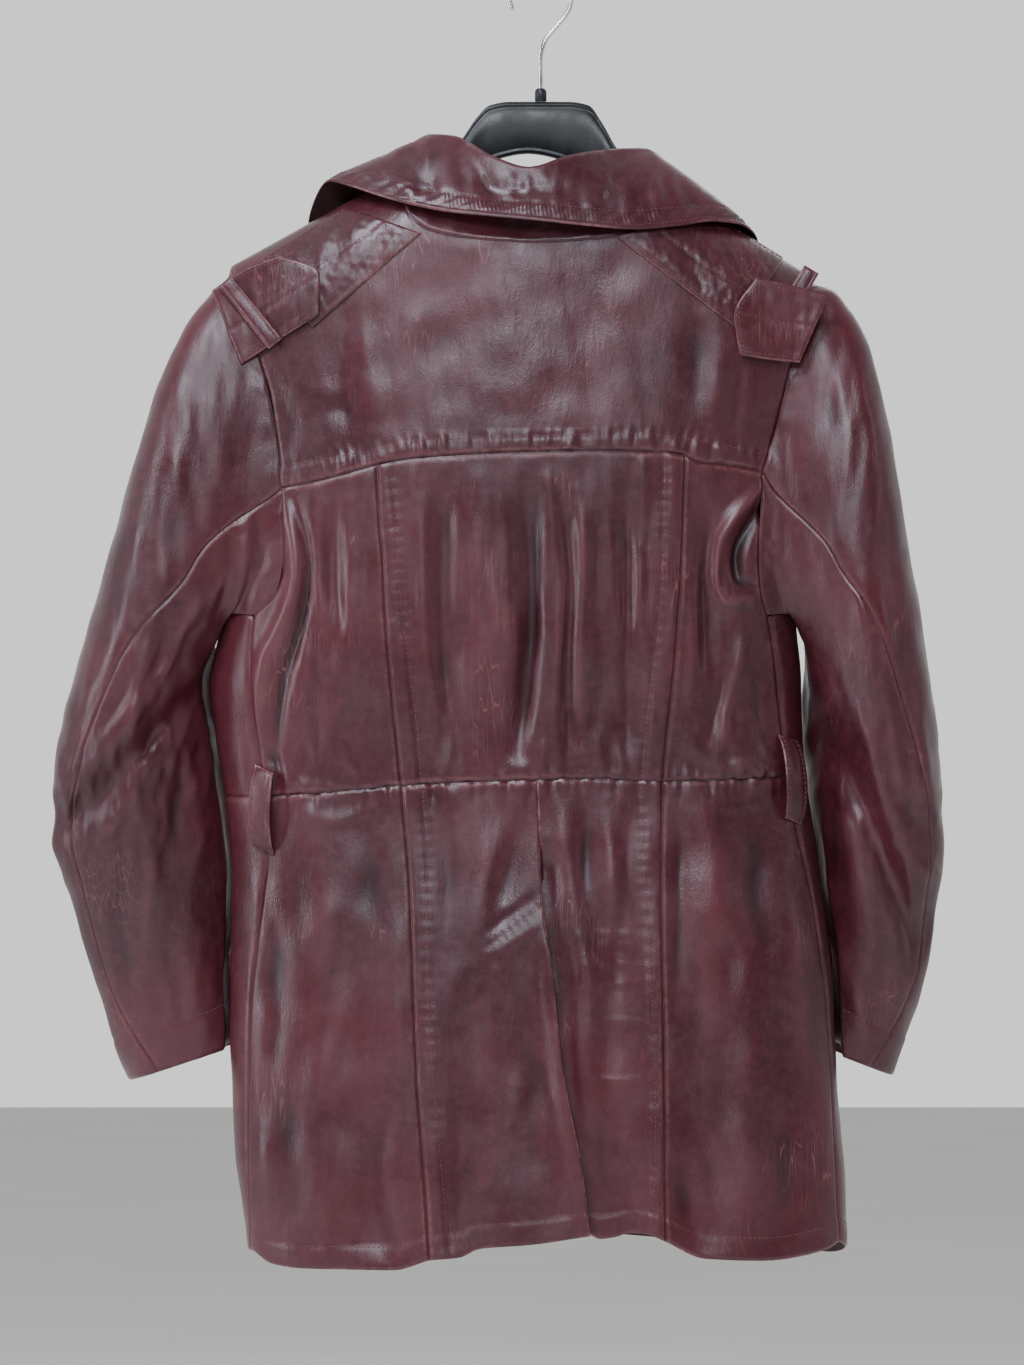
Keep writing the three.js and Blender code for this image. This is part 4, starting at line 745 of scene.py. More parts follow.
BACK_CREASES = {
    "back_yoke": [
        ([(372, 270), (366, 340), (372, 430)], 14, 1.6), ([(348, 300), (344, 370), (350, 440)], 9, -1.8),
        ([(452, 262), (446, 340), (452, 420)], 16, -1.2), ([(520, 270), (516, 350), (518, 420)], 20, 1.0),
        ([(592, 262), (590, 340), (596, 420)], 16, -1.0), ([(700, 310), (696, 370), (690, 430)], 10, -2.0),
        ([(722, 330), (716, 390), (712, 440)], 8, 1.6), ([(742, 360), (736, 400), (730, 440)], 6, -1.4),
        ([(284, 380), (330, 392), (372, 380)], 10, 0.8), ([(300, 420), (340, 410), (380, 424)], 7, -0.8),
        ([(262, 372), (290, 430), (284, 470)], 8, -1.6),
    ],
    "back_centre": [
        ([(447, 480), (445, 560), (442, 640), (446, 700)], 7, -2.2),
        ([(536, 470), (533, 590), (527, 683), (522, 756)], 5, -3.2),
        ([(549, 480), (562, 583), (557, 665), (549, 750)], 5, 2.4),
        ([(577, 490), (583, 570), (577, 657), (581, 756)], 4.5, 2.4),
        ([(566, 500), (570, 600), (566, 700), (568, 770)], 4, -2.0),
        ([(597, 500), (599, 600), (601, 720)], 5, -1.8),
        ([(607, 515), (614, 583), (618, 657), (622, 735)], 4.5, 1.9),
        ([(631, 520), (640, 570), (637, 640)], 4, 1.8), ([(626, 480), (629, 560), (630, 640)], 4, -1.6),
        ([(479, 478), (484, 570), (500, 613), (479, 665), (466, 730)], 8, 1.9),
        ([(421, 500), (423, 600), (436, 709)], 5, 1.6), ([(462, 500), (466, 590), (458, 680)], 5, -1.3),
        ([(508, 500), (512, 600), (503, 700)], 7, 1.2), ([(440, 690), (450, 740), (446, 778)], 4, 1.2),
        ([(412, 560), (414, 620), (420, 680)], 3.5, -1.0), ([(470, 730), (480, 760), (470, 778)], 4, -1.0),
        ([(650, 500), (648, 560), (646, 620)], 4, -1.0), ([(596, 730), (600, 762), (596, 778)], 3.5, 1.0),
        ([(545, 735), (542, 762), (548, 778)], 3.5, 1.2), ([(617, 742), (620, 764), (616, 778)], 3, 1.0),
    ],
    "back_side_left": [
        ([(284, 492), (294, 540), (297, 572), (284, 620), (262, 668), (255, 740)], 6.5, 5.4),
        ([(292, 498), (308, 560), (301, 620), (283, 680), (274, 760)], 4.6, -4.4),
        ([(314, 490), (319, 583), (330, 648)], 6, 1.8), ([(351, 500), (349, 600), (336, 683)], 6, 1.8),
        ([(333, 500), (336, 580), (346, 660)], 5, -1.6), ([(366, 520), (368, 620), (372, 700)], 5, -1.2),
        ([(300, 640), (322, 700), (330, 770)], 8, 1.4), ([(352, 690), (346, 740), (352, 780)], 6, -1.2),
        ([(372, 640), (378, 700), (380, 770)], 4, 1.0), ([(282, 760), (300, 784), (330, 786)], 5, 1.2),
        ([(262, 744), (276, 770), (274, 790)], 5, -2.0),
    ],
    "back_side_right": [
        ([(763, 486), (735, 516), (719, 546), (716, 578), (728, 601), (750, 599)], 4.4, 6.6),
        ([(768, 500), (750, 526), (737, 558), (739, 579), (754, 586)], 4.2, -6.0),
        ([(706, 520), (704, 600), (712, 680)], 6, -2.4), ([(718, 606), (716, 683), (738, 766)], 6, 2.2),
        ([(750, 622), (728, 700), (718, 772)], 5, 2.0), ([(736, 640), (722, 690), (706, 740)], 4, -1.8),
        ([(768, 640), (756, 700), (770, 760)], 5, -1.8), ([(700, 560), (694, 640), (688, 720)], 5, 1.6),
        ([(690, 480), (694, 540), (692, 580)], 4, -1.2), ([(690, 740), (720, 768), (770, 756)], 4, 1.4),
        ([(676, 752), (700, 770), (716, 776)], 3, -1.2), ([(748, 760), (764, 772), (778, 768)], 3, 1.2),
    ],
    "skirt_side_left": [
        ([(300, 800), (322, 900), (316, 1010)], 13, 2.4), ([(268, 880), (276, 980), (270, 1100)], 8, -2.0),
        ([(360, 800), (372, 880), (376, 960)], 12, -2.0), ([(340, 960), (330, 1080), (344, 1200)], 15, 1.8),
        ([(300, 1040), (290, 1140), (300, 1240)], 11, -1.8), ([(392, 900), (398, 1020), (404, 1120)], 8, 1.4),
        ([(380, 1090), (376, 1180), (392, 1250)], 10, -1.4), ([(290, 806), (330, 820), (390, 806)], 5, 1.0),
        ([(264, 1130), (262, 1200), (268, 1250)], 7, 1.6), ([(246, 880), (242, 960), (244, 1060)], 4, 1.4),
    ],
    "skirt_back_left": [
        ([(470, 790), (484, 860), (478, 930)], 10, 1.6), ([(444, 800), (448, 880), (444, 950)], 6, -1.2),
        ([(520, 800), (512, 860), (502, 910)], 10, -1.6), ([(548, 912), (520, 936), (489, 957)], 5, 1.3),
        ([(540, 893), (512, 914), (482, 936)], 4, -1.2), ([(470, 980), (486, 1080), (480, 1200)], 13, 1.6),
        ([(520, 960), (528, 1060), (540, 1180)], 12, -1.8), ([(500, 960), (480, 1000), (450, 1030)], 7, 1.0),
        ([(452, 1040), (458, 1140), (462, 1230)], 7, -1.2), ([(548, 980), (560, 1080), (574, 1200)], 6, 1.6),
        ([(500, 1170), (508, 1210), (504, 1244)], 9, 1.2),
    ],
    "skirt_back_right": [
        ([(569, 900), (570, 1000), (577, 1120)], 3.5, -1.8),
        ([(586, 890), (588, 960), (592, 1040)], 3.0, 1.4), ([(566, 936), (606, 933), (646, 935)], 1.8, 0.55),
        ([(572, 966), (610, 963), (648, 966)], 1.8, 0.55), ([(570, 982), (612, 984), (650, 981)], 1.8, 0.5),
        ([(584, 1023), (620, 1020), (652, 1024)], 1.9, 0.5),
        ([(582, 1078), (618, 1080), (654, 1076)], 1.9, 0.5),
        ([(576, 950), (604, 949), (640, 951)], 1.6, -0.45), ([(560, 790), (566, 880), (572, 960)], 8, 2.0),
        ([(588, 790), (586, 870), (592, 960)], 6, -2.2), ([(606, 800), (612, 890), (606, 980)], 6, 2.0),
        ([(630, 800), (628, 880), (632, 960)], 5, -1.4), ([(584, 1000), (600, 1100), (604, 1220)], 8, -1.8),
        ([(620, 980), (618, 1080), (628, 1200)], 9, 1.8), ([(640, 1040), (642, 1140), (640, 1220)], 5, -1.2),
        ([(562, 960), (576, 1040), (584, 1120)], 6, 1.4),
    ],
    "skirt_side_right": [
        ([(700, 790), (714, 880), (712, 1000), (706, 1100)], 12, 3.0),
        ([(676, 800), (680, 900), (676, 1000)], 7, -2.2), ([(752, 800), (756, 880), (762, 980)], 11, -2.4),
        ([(784, 880), (796, 980), (804, 1080)], 10, 2.0), ([(740, 1000), (746, 1100), (738, 1220)], 14, 1.6),
        ([(690, 1080), (684, 1160), (690, 1240)], 9, -1.6),
        ([(780, 1100), (786, 1180), (780, 1250)], 11, -1.6),
        ([(822, 1040), (826, 1120), (832, 1220)], 7, 1.6), ([(690, 792), (730, 806), (776, 792)], 5, 1.0),
    ],
}


def in_millimetres(lines):
    return [(photo(line), half_width, height) for line, half_width, height in lines]


def bends(node):
    lines = in_millimetres(BACK_CREASES[node])
    return lambda points, angle: creases(seen(points), lines)


armhole_edge = {side: (back_line(ARMHOLE_UPPER[side]), back_line(ARMHOLE_LOWER[side])) for side in SIDES}
yoke_top = np.concatenate([
    on_back(shoulder_line("left")), back_line(BACK_NECK)[1:], on_back(shoulder_line("right")[::-1])[1:],
])


def yoke_relief(points, distances):
    band = 1 - ease(distances["foot"], 13, 16)
    crinkle = waves(seen(points), 9, 60, seed=11) * 0.42 * band * ease(distances["foot"], 0, 3)
    neck = 1 - ease(distances["top"], 0, 10)
    row = pucker(points, YOKE_ROW, 0.6, 0.30, 7.5)
    return row + strip(distances["foot"], YOKE_STRIP, 0.6) + crinkle - 0.2 * neck


body_panel("back_yoke", yoke_top, back_line(YOKE_LEFT, YOKE_MIDDLE, YOKE_RIGHT), armhole_edge["left"][0],
           armhole_edge["right"][0], bend=bends("back_yoke"), relief=yoke_relief, plain="top")


def waist_relief(seed):
    def relief(points, distances):
        near = bell(distances["foot"], 9)
        return 0.45 * near * waves(seen(points), 9, 50, seed=seed)
    return relief


SEAM_JOGS = [
    ([(379, 530), (392, 527), (398, 531)], 2.2, -0.8), ([(386, 626), (396, 623), (403, 627)], 2.0, 0.7),
]


def centre_relief(points, distances):
    left_strip, right_strip = CENTRE_STRIPS
    strips = strip(distances["left"], left_strip, 0.8) + strip(distances["right"], right_strip, 0.8)
    rows = sum(pucker(points, row, 0.6, 0.26, 8, 5, i + 2) for i, row in enumerate(CENTRE_ROWS))
    jogs = creases(seen(points), in_millimetres(SEAM_JOGS))
    return strips + rows + jogs + waist_relief(5)(points, distances)


side_left = np.concatenate([armhole_edge["left"][1], back_line(SIDE_UPPER["left"])[1:]])
side_right = np.concatenate([armhole_edge["right"][1], back_line(SIDE_UPPER["right"])[1:]])
body_panel("back_side_left", back_line(YOKE_LEFT), back_line(WAIST_LEFT), side_left, back_line(PRINCESS_LEFT),
           bend=bends("back_side_left"), relief=waist_relief(6))
body_panel("back_centre", back_line(YOKE_MIDDLE), back_line(WAIST_MIDDLE_LEFT, WAIST_MIDDLE_RIGHT),
           back_line(PRINCESS_LEFT), back_line(PRINCESS_RIGHT),
           bend=bends("back_centre"), relief=centre_relief)
body_panel("back_side_right", back_line(YOKE_RIGHT), back_line(WAIST_RIGHT), back_line(PRINCESS_RIGHT),
           side_right, bend=bends("back_side_right"), relief=waist_relief(7))


# Skirt: the left half is the vent's flap, the right half runs under it
def hem_relief(distances):
    return strip(distances["foot"], HEM_ROW, 0.55) - 0.35 * bell(distances["foot"] - HEM_ROW, 1.3)


def top_relief(points, distances, seed):
    near = bell(distances["top"], 12)
    return 0.5 * near * waves(seen(points), 10, 60, seed=seed)


def flap_relief(points, distances):
    edge = strip(distances["left"], SKIRT_STRIP, 0.8)
    rows = pucker(points, FLAP_ROW, 0.6, 0.2, 9, 5) + pucker(points, VENT_TOP_ROW, 0.6, 0.2, 6, 5)
    return edge + rows + hem_relief(distances) + top_relief(points, distances, 21)


def under_relief(points, distances):
    edge = strip(distances["right"], SKIRT_STRIP, 0.8)
    row = pucker(points, UNDER_ROW, 0.6, 0.2, 9, 5)
    return edge + row + hem_relief(distances) + top_relief(points, distances, 22)


def side_relief(seed):
    return lambda points, distances: hem_relief(distances) + top_relief(points, distances, seed)


body_panel("skirt_side_left", back_line(WAIST_LEFT), back_line(HEM_LEFT), back_line(SIDE_LOWER["left"]),
           back_line(STRIP_LEFT), bend=bends("skirt_side_left"), relief=side_relief(23), free="foot")
vent_top = CENTRE_SEAM[-1][1]
vent_start = profile([(z, x) for x, z in CENTRE_SEAM + VENT_EDGE[1:]])


def flap_lift(angle, z):
    """The flap's free edge stands off the half under it."""
    x = body_point(angle, z)[..., 0]
    return FLAP_RISE * ease(x - vent_start(z), -14, 0) * ease(vent_top - z, 2, 40)


body_panel("skirt_back_left", back_line(WAIST_MIDDLE_LEFT), back_line(HEM_MIDDLE_LEFT), back_line(STRIP_LEFT),
           back_line(CENTRE_SEAM, VENT_EDGE), lift=flap_lift, bend=bends("skirt_back_left"),
           relief=flap_relief, free="foot right")
underlap = np.concatenate([sample(CENTRE_SEAM), sample(VENT_EDGE)[1:]])
underlap[:, 0] -= VENT_UNDERLAP * ease(vent_top - underlap[:, 1], -18, 16)
underlap_foot = sample([tuple(underlap[-1])] + HEM_MIDDLE_RIGHT)


def under_lift(angle, z):
    x = body_point(angle, z)[..., 0]
    return -(VENT_STEP + VENT_SINK) * (1 - ease(x - vent_start(z), 3, 24)) * ease(vent_top - z, -46, -24)


def under_bend(points, angle):
    shown = ease(points[..., 0] - vent_start(points[..., 2]), 0, 18)
    return bends("skirt_back_right")(points, angle) * shown


body_panel("skirt_back_right", back_line(WAIST_MIDDLE_RIGHT), on_back(underlap_foot), on_back(underlap),
           back_line(STRIP_RIGHT), lift=under_lift, bend=under_bend, relief=under_relief, free="foot left")
body_panel("skirt_side_right", back_line(WAIST_RIGHT), back_line(HEM_RIGHT), back_line(STRIP_RIGHT),
           back_line(SIDE_LOWER["right"]), bend=bends("skirt_side_right"),
           relief=side_relief(24), free="foot")


# Fronts, on the hidden side, with the right one over the left
def front_bend(lines):
    """Creases of a front panel, by angle round the body as a length, and height."""
    return lambda points, angle: creases(np.stack([np.abs(angle) * HALF_WIDTH, points[..., 2]], -1), lines)


FRONT_UPPER_CREASES = [
    ([(400, -440), (440, -500), (470, -575)], 9, 2.4), ([(420, -400), (470, -450), (520, -520)], 9, -2.0),
    ([(380, -470), (400, -530), (410, -575)], 7, -1.8), ([(480, -380), (500, -470), (510, -560)], 8, 1.6),
    ([(540, -380), (552, -470), (550, -560)], 9, -1.4), ([(590, -400), (596, -480), (590, -560)], 8, 1.4),
    ([(430, -300), (480, -320), (540, -350)], 10, 1.2), ([(440, -250), (500, -280), (560, -300)], 9, -1.0),
    ([(360, -500), (372, -550), (380, -580)], 5, 1.2),
]
FRONT_LOWER_CREASES = [
    ([(400, -590), (420, -700), (410, -900)], 12, 2.0), ([(470, -590), (480, -720), (500, -900)], 11, -1.8),
    ([(540, -600), (536, -740), (550, -900)], 12, 1.8), ([(600, -600), (610, -760), (600, -900)], 9, -1.4),
    ([(360, -620), (356, -760), (366, -900)], 9, -1.6), ([(430, -760), (450, -830), (440, -910)], 8, 1.4),
]
front_armhole = {}
for side in SIDES:
    start = armhole_edge[side][1][-1]
    end = on_front(side, [(SHOULDER_POINT[side], float(shoulder_height(SHOULDER_POINT[side])))])[0]
    middle = [(math.radians(degrees), z) for degrees, z in FRONT_ARMHOLE[side]]
    shares = 1 - (1 - np.linspace(0, 1, FRONT_NODES + 1)) ** 1.25
    front_armhole[side] = path(np.array([start, *middle, end]) * ARC)(shares) / ARC


def overlap_lift(side):
    """The right front lies over the left one beside the centre."""
    def lift(angle, z):
        past_centre = body_point(angle, z)[..., 0] - CENTRE_FRONT_X
        return OVERLAP_STEP * (1 - ease(past_centre, FRONT_OVERLAP, FRONT_OVERLAP + OVERLAP_SLOPE))
    return lift if side == "right" else lambda angle, z: np.zeros(np.shape(z))


def front_relief(side, hem=False):
    """The turned edge of a front, whose grid has it on its own side, and the turned hem."""
    def relief(points, distances):
        turned = strip(distances[side], FRONT_ROW, 0.4) - 0.35 * bell(distances[side] - FRONT_ROW, 1.3)
        return turned + hem_relief(distances) if hem else turned
    return relief


for side in SIDES:
    edge_x = CENTRE_FRONT_X - SIGN[side] * FRONT_OVERLAP
    roll = sample(ROLL_LINE[side])
    to_waist = sample([tuple(roll[-1]), (edge_x, roll[-1][1] - BREAK_RUN), (edge_x, WAIST_FRONT_Z)])
    centre = on_front(side, np.concatenate([roll, to_waist[1:]]))
    top = on_front(side, shoulder_line(side))
    armhole = path(front_armhole[side] * ARC)(np.linspace(1, 0, 80)) / ARC
    outer_edge = np.concatenate([armhole, back_line(SIDE_UPPER[side])[1:]])
    waist = np.array([mix(outer_edge[-1], centre[-1], t) for t in np.linspace(0, 1, 60)])
    lower_edge = back_line(SIDE_LOWER[side])
    hem_side, hem_edge = lower_edge[-1], on_front(side, [(edge_x, HEM_FRONT_Z)])[0]
    hem_nodes = np.array([hem_side, (mix(hem_side[0], hem_edge[0], 0.3), HEM_DIP_Z), hem_edge]) * ARC
    hem = path(hem_nodes)(np.linspace(0, 1, 60)) / ARC
    skirt_centre = on_front(side, sample([(edge_x, WAIST_FRONT_Z), (edge_x, HEM_FRONT_Z)]))
    if side == "left":
        upper = (top[::-1], waist[::-1], centre, outer_edge)
        lower = (waist[::-1], hem[::-1], skirt_centre, lower_edge)
    else:
        upper = (top, waist, outer_edge, centre)
        lower = (waist, hem, lower_edge, skirt_centre)
    body_panel(f"front_{side}", *upper, step=HIDDEN_STEP, lift=overlap_lift(side), free=side,
               bend=front_bend(FRONT_UPPER_CREASES), relief=front_relief(side))
    body_panel(f"front_skirt_{side}", *lower, step=HIDDEN_STEP, lift=overlap_lift(side), free=f"{side} foot",
               bend=front_bend(FRONT_LOWER_CREASES), relief=front_relief(side, hem=True))


def lapel_relief(points, distances):
    return furrows(distances, ("left", "right", "top"), LAPEL_ROW, 1.2, 0.3)


# Lapels
for side in SIDES:
    roll = path(ROLL_LINE[side])(np.linspace(LAPEL_START, LAPEL_END, 40))
    point = (roll[-1][0] + SIGN[side] * LAPEL_POINT_WIDTH, roll[-1][1])
    outline = sample([LAPEL_TOP[side], LAPEL_BELLY[side], point])
    top, foot, inner, outer = [on_front(side, line) for line in (
        sample([tuple(roll[0]), LAPEL_TOP[side]]), sample([tuple(roll[-1]), point]), roll, outline)]
    lines = (top, foot, inner, outer) if side == "left" else (top[::-1], foot[::-1], outer, inner)
    under = overlap_lift(side)
    body_panel(f"lapel_{side}", *lines, lift=lambda angle, z: under(angle, z) + LAID_LIFT,
               relief=lapel_relief, free=ALL_EDGES, rests_on=(f"leather_front_{side}",))


def band_lines(start, end, width):
    """A straight band's start, end and two sides."""
    across = np.array([start[1] - end[1], end[0] - start[0]])
    across = across / np.linalg.norm(across) * width / 2
    pairs = ((start - across, start + across), (end - across, end + across),
             (start - across, end - across), (start + across, end + across))
    return [np.linspace(a, b, 20) for a, b in pairs]


def body_band(node, start, end, width, step, lift, rests_on):
    """A straight band of leather on the body, between two (angle, z) places."""
    lines = [line / ARC for line in band_lines(np.array(start) * ARC, np.array(end) * ARC, width)]
    body_panel(node, *lines, step=step, lift=lift, free=ALL_EDGES, rests_on=(rests_on,),
               relief=lambda points, distances: furrows(distances, SIDES, BAND_ROW, 0.9, 0.35))


for side in SIDES:
    top, foot, width = POCKET[side]
    ends = [(math.radians(degrees), z) for degrees, z in (top, foot)]
    body_band(f"pocket_welt_{side}", *ends, width, BAND_STEP, lambda angle, z: LAID_LIFT + 0 * z,
              f"leather_front_skirt_{side}")
for side in SIDES:
    top, foot, width = BELT_LOOP[side]

    def loop_lift(angle, z):
        share = np.clip((top[1] - z) / (top[1] - foot[1]), 0, 1)
        return LEATHER + BELT_LOOP_GAP + BELT_LOOP_RISE * np.sin(math.pi * share) ** 0.6

    body_band(f"belt_loop_{side}", *on_back([top, foot]), width, LOOP_STEP, loop_lift,
              f"leather_skirt_side_{side}")


# Sleeves
def clear_of_body(point, clearance):
    """Points of a sleeve, moved off the body below the sleeve's head."""
    x, y, z = (point[..., i] for i in range(3))
    left, right = left_side(z), right_side(z)
    middle = (left + right) / 2
    across = np.abs(x - middle) / ((right - left) / 2)
    depth = np.abs(y) / np.where(y < 0, back_depth(z), front_depth(z))
    share = (across ** SQUARENESS + depth ** SQUARENESS) ** (1 / SQUARENESS)
    grow = mix(1, np.maximum((1 + clearance / HALF_WIDTH) / share, 1), ease(CAP_FOOT - z, -50, 30))
    return np.stack([middle + (x - middle) * grow, y * grow, z], -1)


def armhole_loop(side):
    upper = on_back(path(ARMHOLE_UPPER[side])(np.linspace(0, 1, UPPER_NODES + 1) ** 1.5))
    lower = on_back(sample(ARMHOLE_LOWER[side], LOWER_NODES))
    return np.concatenate([upper, lower[1:], front_armhole[side][1:]])


def sleeve_surface(side):
    stations = SLEEVE_STATIONS[side]
    columns = [profile(list(enumerate(column))) for column in zip(*stations)]
    loop = armhole_loop(side)
    points = body_point(loop[:, 0], loop[:, 1])
    nodes = len(points) - 1
    axes = [profile(list(enumerate(axis))) for axis in points.T]
    back_seam, front_seam = profile(BACK_SLEEVE_SEAM), profile(FRONT_SLEEVE_SEAM)
    front_node = UPPER_NODES + LOWER_NODES + FRONT_SEAM_NODE
    line, steepness, ridge, depth_of = ELBOW[side]
    crease_height = profile(line)

    def surface(node, station):
        outer_x, outer_z, inner_x, inner_z, middle_y, half_depth, forward = [
            column(station) for column in columns
        ]
        rest = nodes - front_node + UPPER_NODES
        behind, ahead = back_seam(station), front_seam(station)
        top_end = mix(ahead, 360 + behind, (node - front_node) / rest)
        top_start = mix(ahead - 360, behind, (node + nodes - front_node) / rest)
        under = mix(behind, ahead, (node - UPPER_NODES) / (front_node - UPPER_NODES))
        turn = np.where(node > front_node, top_end, np.where(node < UPPER_NODES, top_start, under))
        angle = np.radians(turn)
        across = np.sign(np.cos(angle)) * np.abs(np.cos(angle)) ** SLEEVE_ROUNDNESS
        depth = np.sign(np.sin(angle)) * np.abs(np.sin(angle)) ** SLEEVE_ROUNDNESS
        x = (outer_x + inner_x) / 2 + (outer_x - inner_x) / 2 * across
        z = (outer_z + inner_z) / 2 + (outer_z - inner_z) / 2 * across
        below = (z - crease_height(x)) * steepness
        fold = 1.3 * ridge * bell(below - 11, 11) - 1.15 * depth_of * bell(below + 5, 10.5)
        folded = ease(depth, 0.1, 0.7) * fold * ease(station, 1.5, 3.5)
        y = middle_y - half_depth * depth + forward * np.maximum(-across, 0) - folded
        left = np.maximum(1 - station / ARMHOLE_STATIONS, 0)
        hole = np.stack([axis(node % nodes) for axis in axes], -1)
        point = mix(hole, np.stack([x, y, z], -1), (1 - left * left)[..., None])
        return clear_of_body(point, SLEEVE_CLEARANCE * np.minimum(station / 1.2, 1))

    return surface, nodes, loop


SLEEVE_CREASES = {
    "left": [
        ([(262, 520), (216, 590), (170, 640)], 7, 2.0), ([(270, 546), (236, 606), (180, 668)], 5, -2.0),
        ([(252, 576), (226, 626), (176, 690)], 5, 1.8), ([(206, 570), (196, 606), (176, 640)], 4, 1.5),
        ([(230, 560), (222, 596), (208, 632)], 3.5, -1.5), ([(246, 552), (240, 590), (222, 630)], 3, 1.3),
        ([(186, 606), (176, 650), (150, 690)], 4, 1.6), ([(168, 626), (158, 664), (136, 696)], 4, -1.6),
        ([(150, 650), (140, 690), (116, 726)], 4.5, 1.6), ([(176, 660), (160, 700), (128, 736)], 4, -1.4),
        ([(132, 676), (118, 706), (96, 736)], 4, -1.4), ([(196, 640), (184, 680), (150, 720)], 4, 1.2),
        ([(112, 690), (96, 724), (78, 756)], 4.5, 1.2), ([(270, 500), (262, 540), (268, 580)], 5, -1.6),
        ([(200, 690), (168, 730), (120, 790)], 6, 1.8), ([(214, 720), (196, 800), (200, 880)], 9, 1.8),
        ([(196, 760), (170, 830), (166, 900)], 8, -1.8), ([(150, 830), (146, 910), (160, 990)], 9, 2.0),
        ([(120, 860), (116, 930), (130, 1010)], 7, -1.8), ([(186, 900), (190, 980), (204, 1040)], 9, 1.6),
        ([(100, 890), (108, 960), (124, 1030)], 6, 1.4), ([(214, 900), (220, 980), (222, 1040)], 5, -1.4),
        ([(130, 800), (110, 830), (90, 850)], 5, 1.2), ([(160, 940), (176, 1000), (178, 1050)], 7, -1.2),
        ([(234, 380), (222, 440), (226, 500)], 12, 1.4), ([(190, 340), (168, 430), (150, 520)], 16, 1.6),
        ([(206, 420), (190, 500), (160, 580)], 12, -1.6), ([(140, 480), (116, 560), (96, 640)], 11, -1.4),
        ([(250, 430), (236, 480), (240, 530)], 7, -1.4), ([(160, 560), (126, 620), (100, 700)], 9, 1.4),
    ],
    "right": [
        ([(758, 500), (742, 540), (756, 580)], 6, 2.0), ([(776, 500), (766, 560), (776, 610)], 5, -1.8),
        ([(792, 540), (786, 600), (800, 650)], 6, 1.4), ([(760, 590), (786, 640), (806, 690)], 4.5, -1.6),
        ([(800, 620), (820, 680), (846, 730)], 7, 1.6), ([(826, 660), (850, 720), (872, 780)], 6, -1.4),
        ([(760, 520), (770, 545), (768, 575)], 3, 1.8), ([(748, 540), (757, 560), (752, 582)], 3, -1.6),
        ([(868, 330), (884, 420), (892, 520)], 14, 1.8), ([(836, 340), (846, 430), (862, 520)], 16, -1.4),
        ([(812, 380), (800, 440), (806, 500)], 10, 1.4), ([(886, 560), (900, 640), (908, 720)], 10, -1.4),
        ([(862, 560), (884, 640), (896, 730)], 9, 1.4), ([(920, 700), (926, 780), (918, 850)], 7, 1.6),
        ([(900, 790), (920, 826), (938, 840)], 6, -1.8), ([(904, 850), (922, 870), (938, 876)], 6, 1.6),
        ([(846, 800), (860, 880), (866, 960)], 9, 2.0), ([(830, 780), (838, 860), (842, 950)], 7, -1.6),
        ([(880, 880), (886, 960), (880, 1030)], 8, -1.6), ([(856, 970), (862, 1010), (868, 1050)], 7, 1.6),
        ([(900, 900), (902, 960), (896, 1020)], 6, 1.4), ([(840, 980), (846, 1020), (844, 1050)], 5, -1.2),
    ],
}
WRINKLES = {"left": 1.0, "right": 0.6}
COLUMNS_PER_NODE, STATION_ROWS = 8.5, 150
COLUMN_MARGINS, STATION_MARGINS = np.array([0.03, 0.08]), np.array([0.012, 0.03])
ELBOW_STATION = 6.8

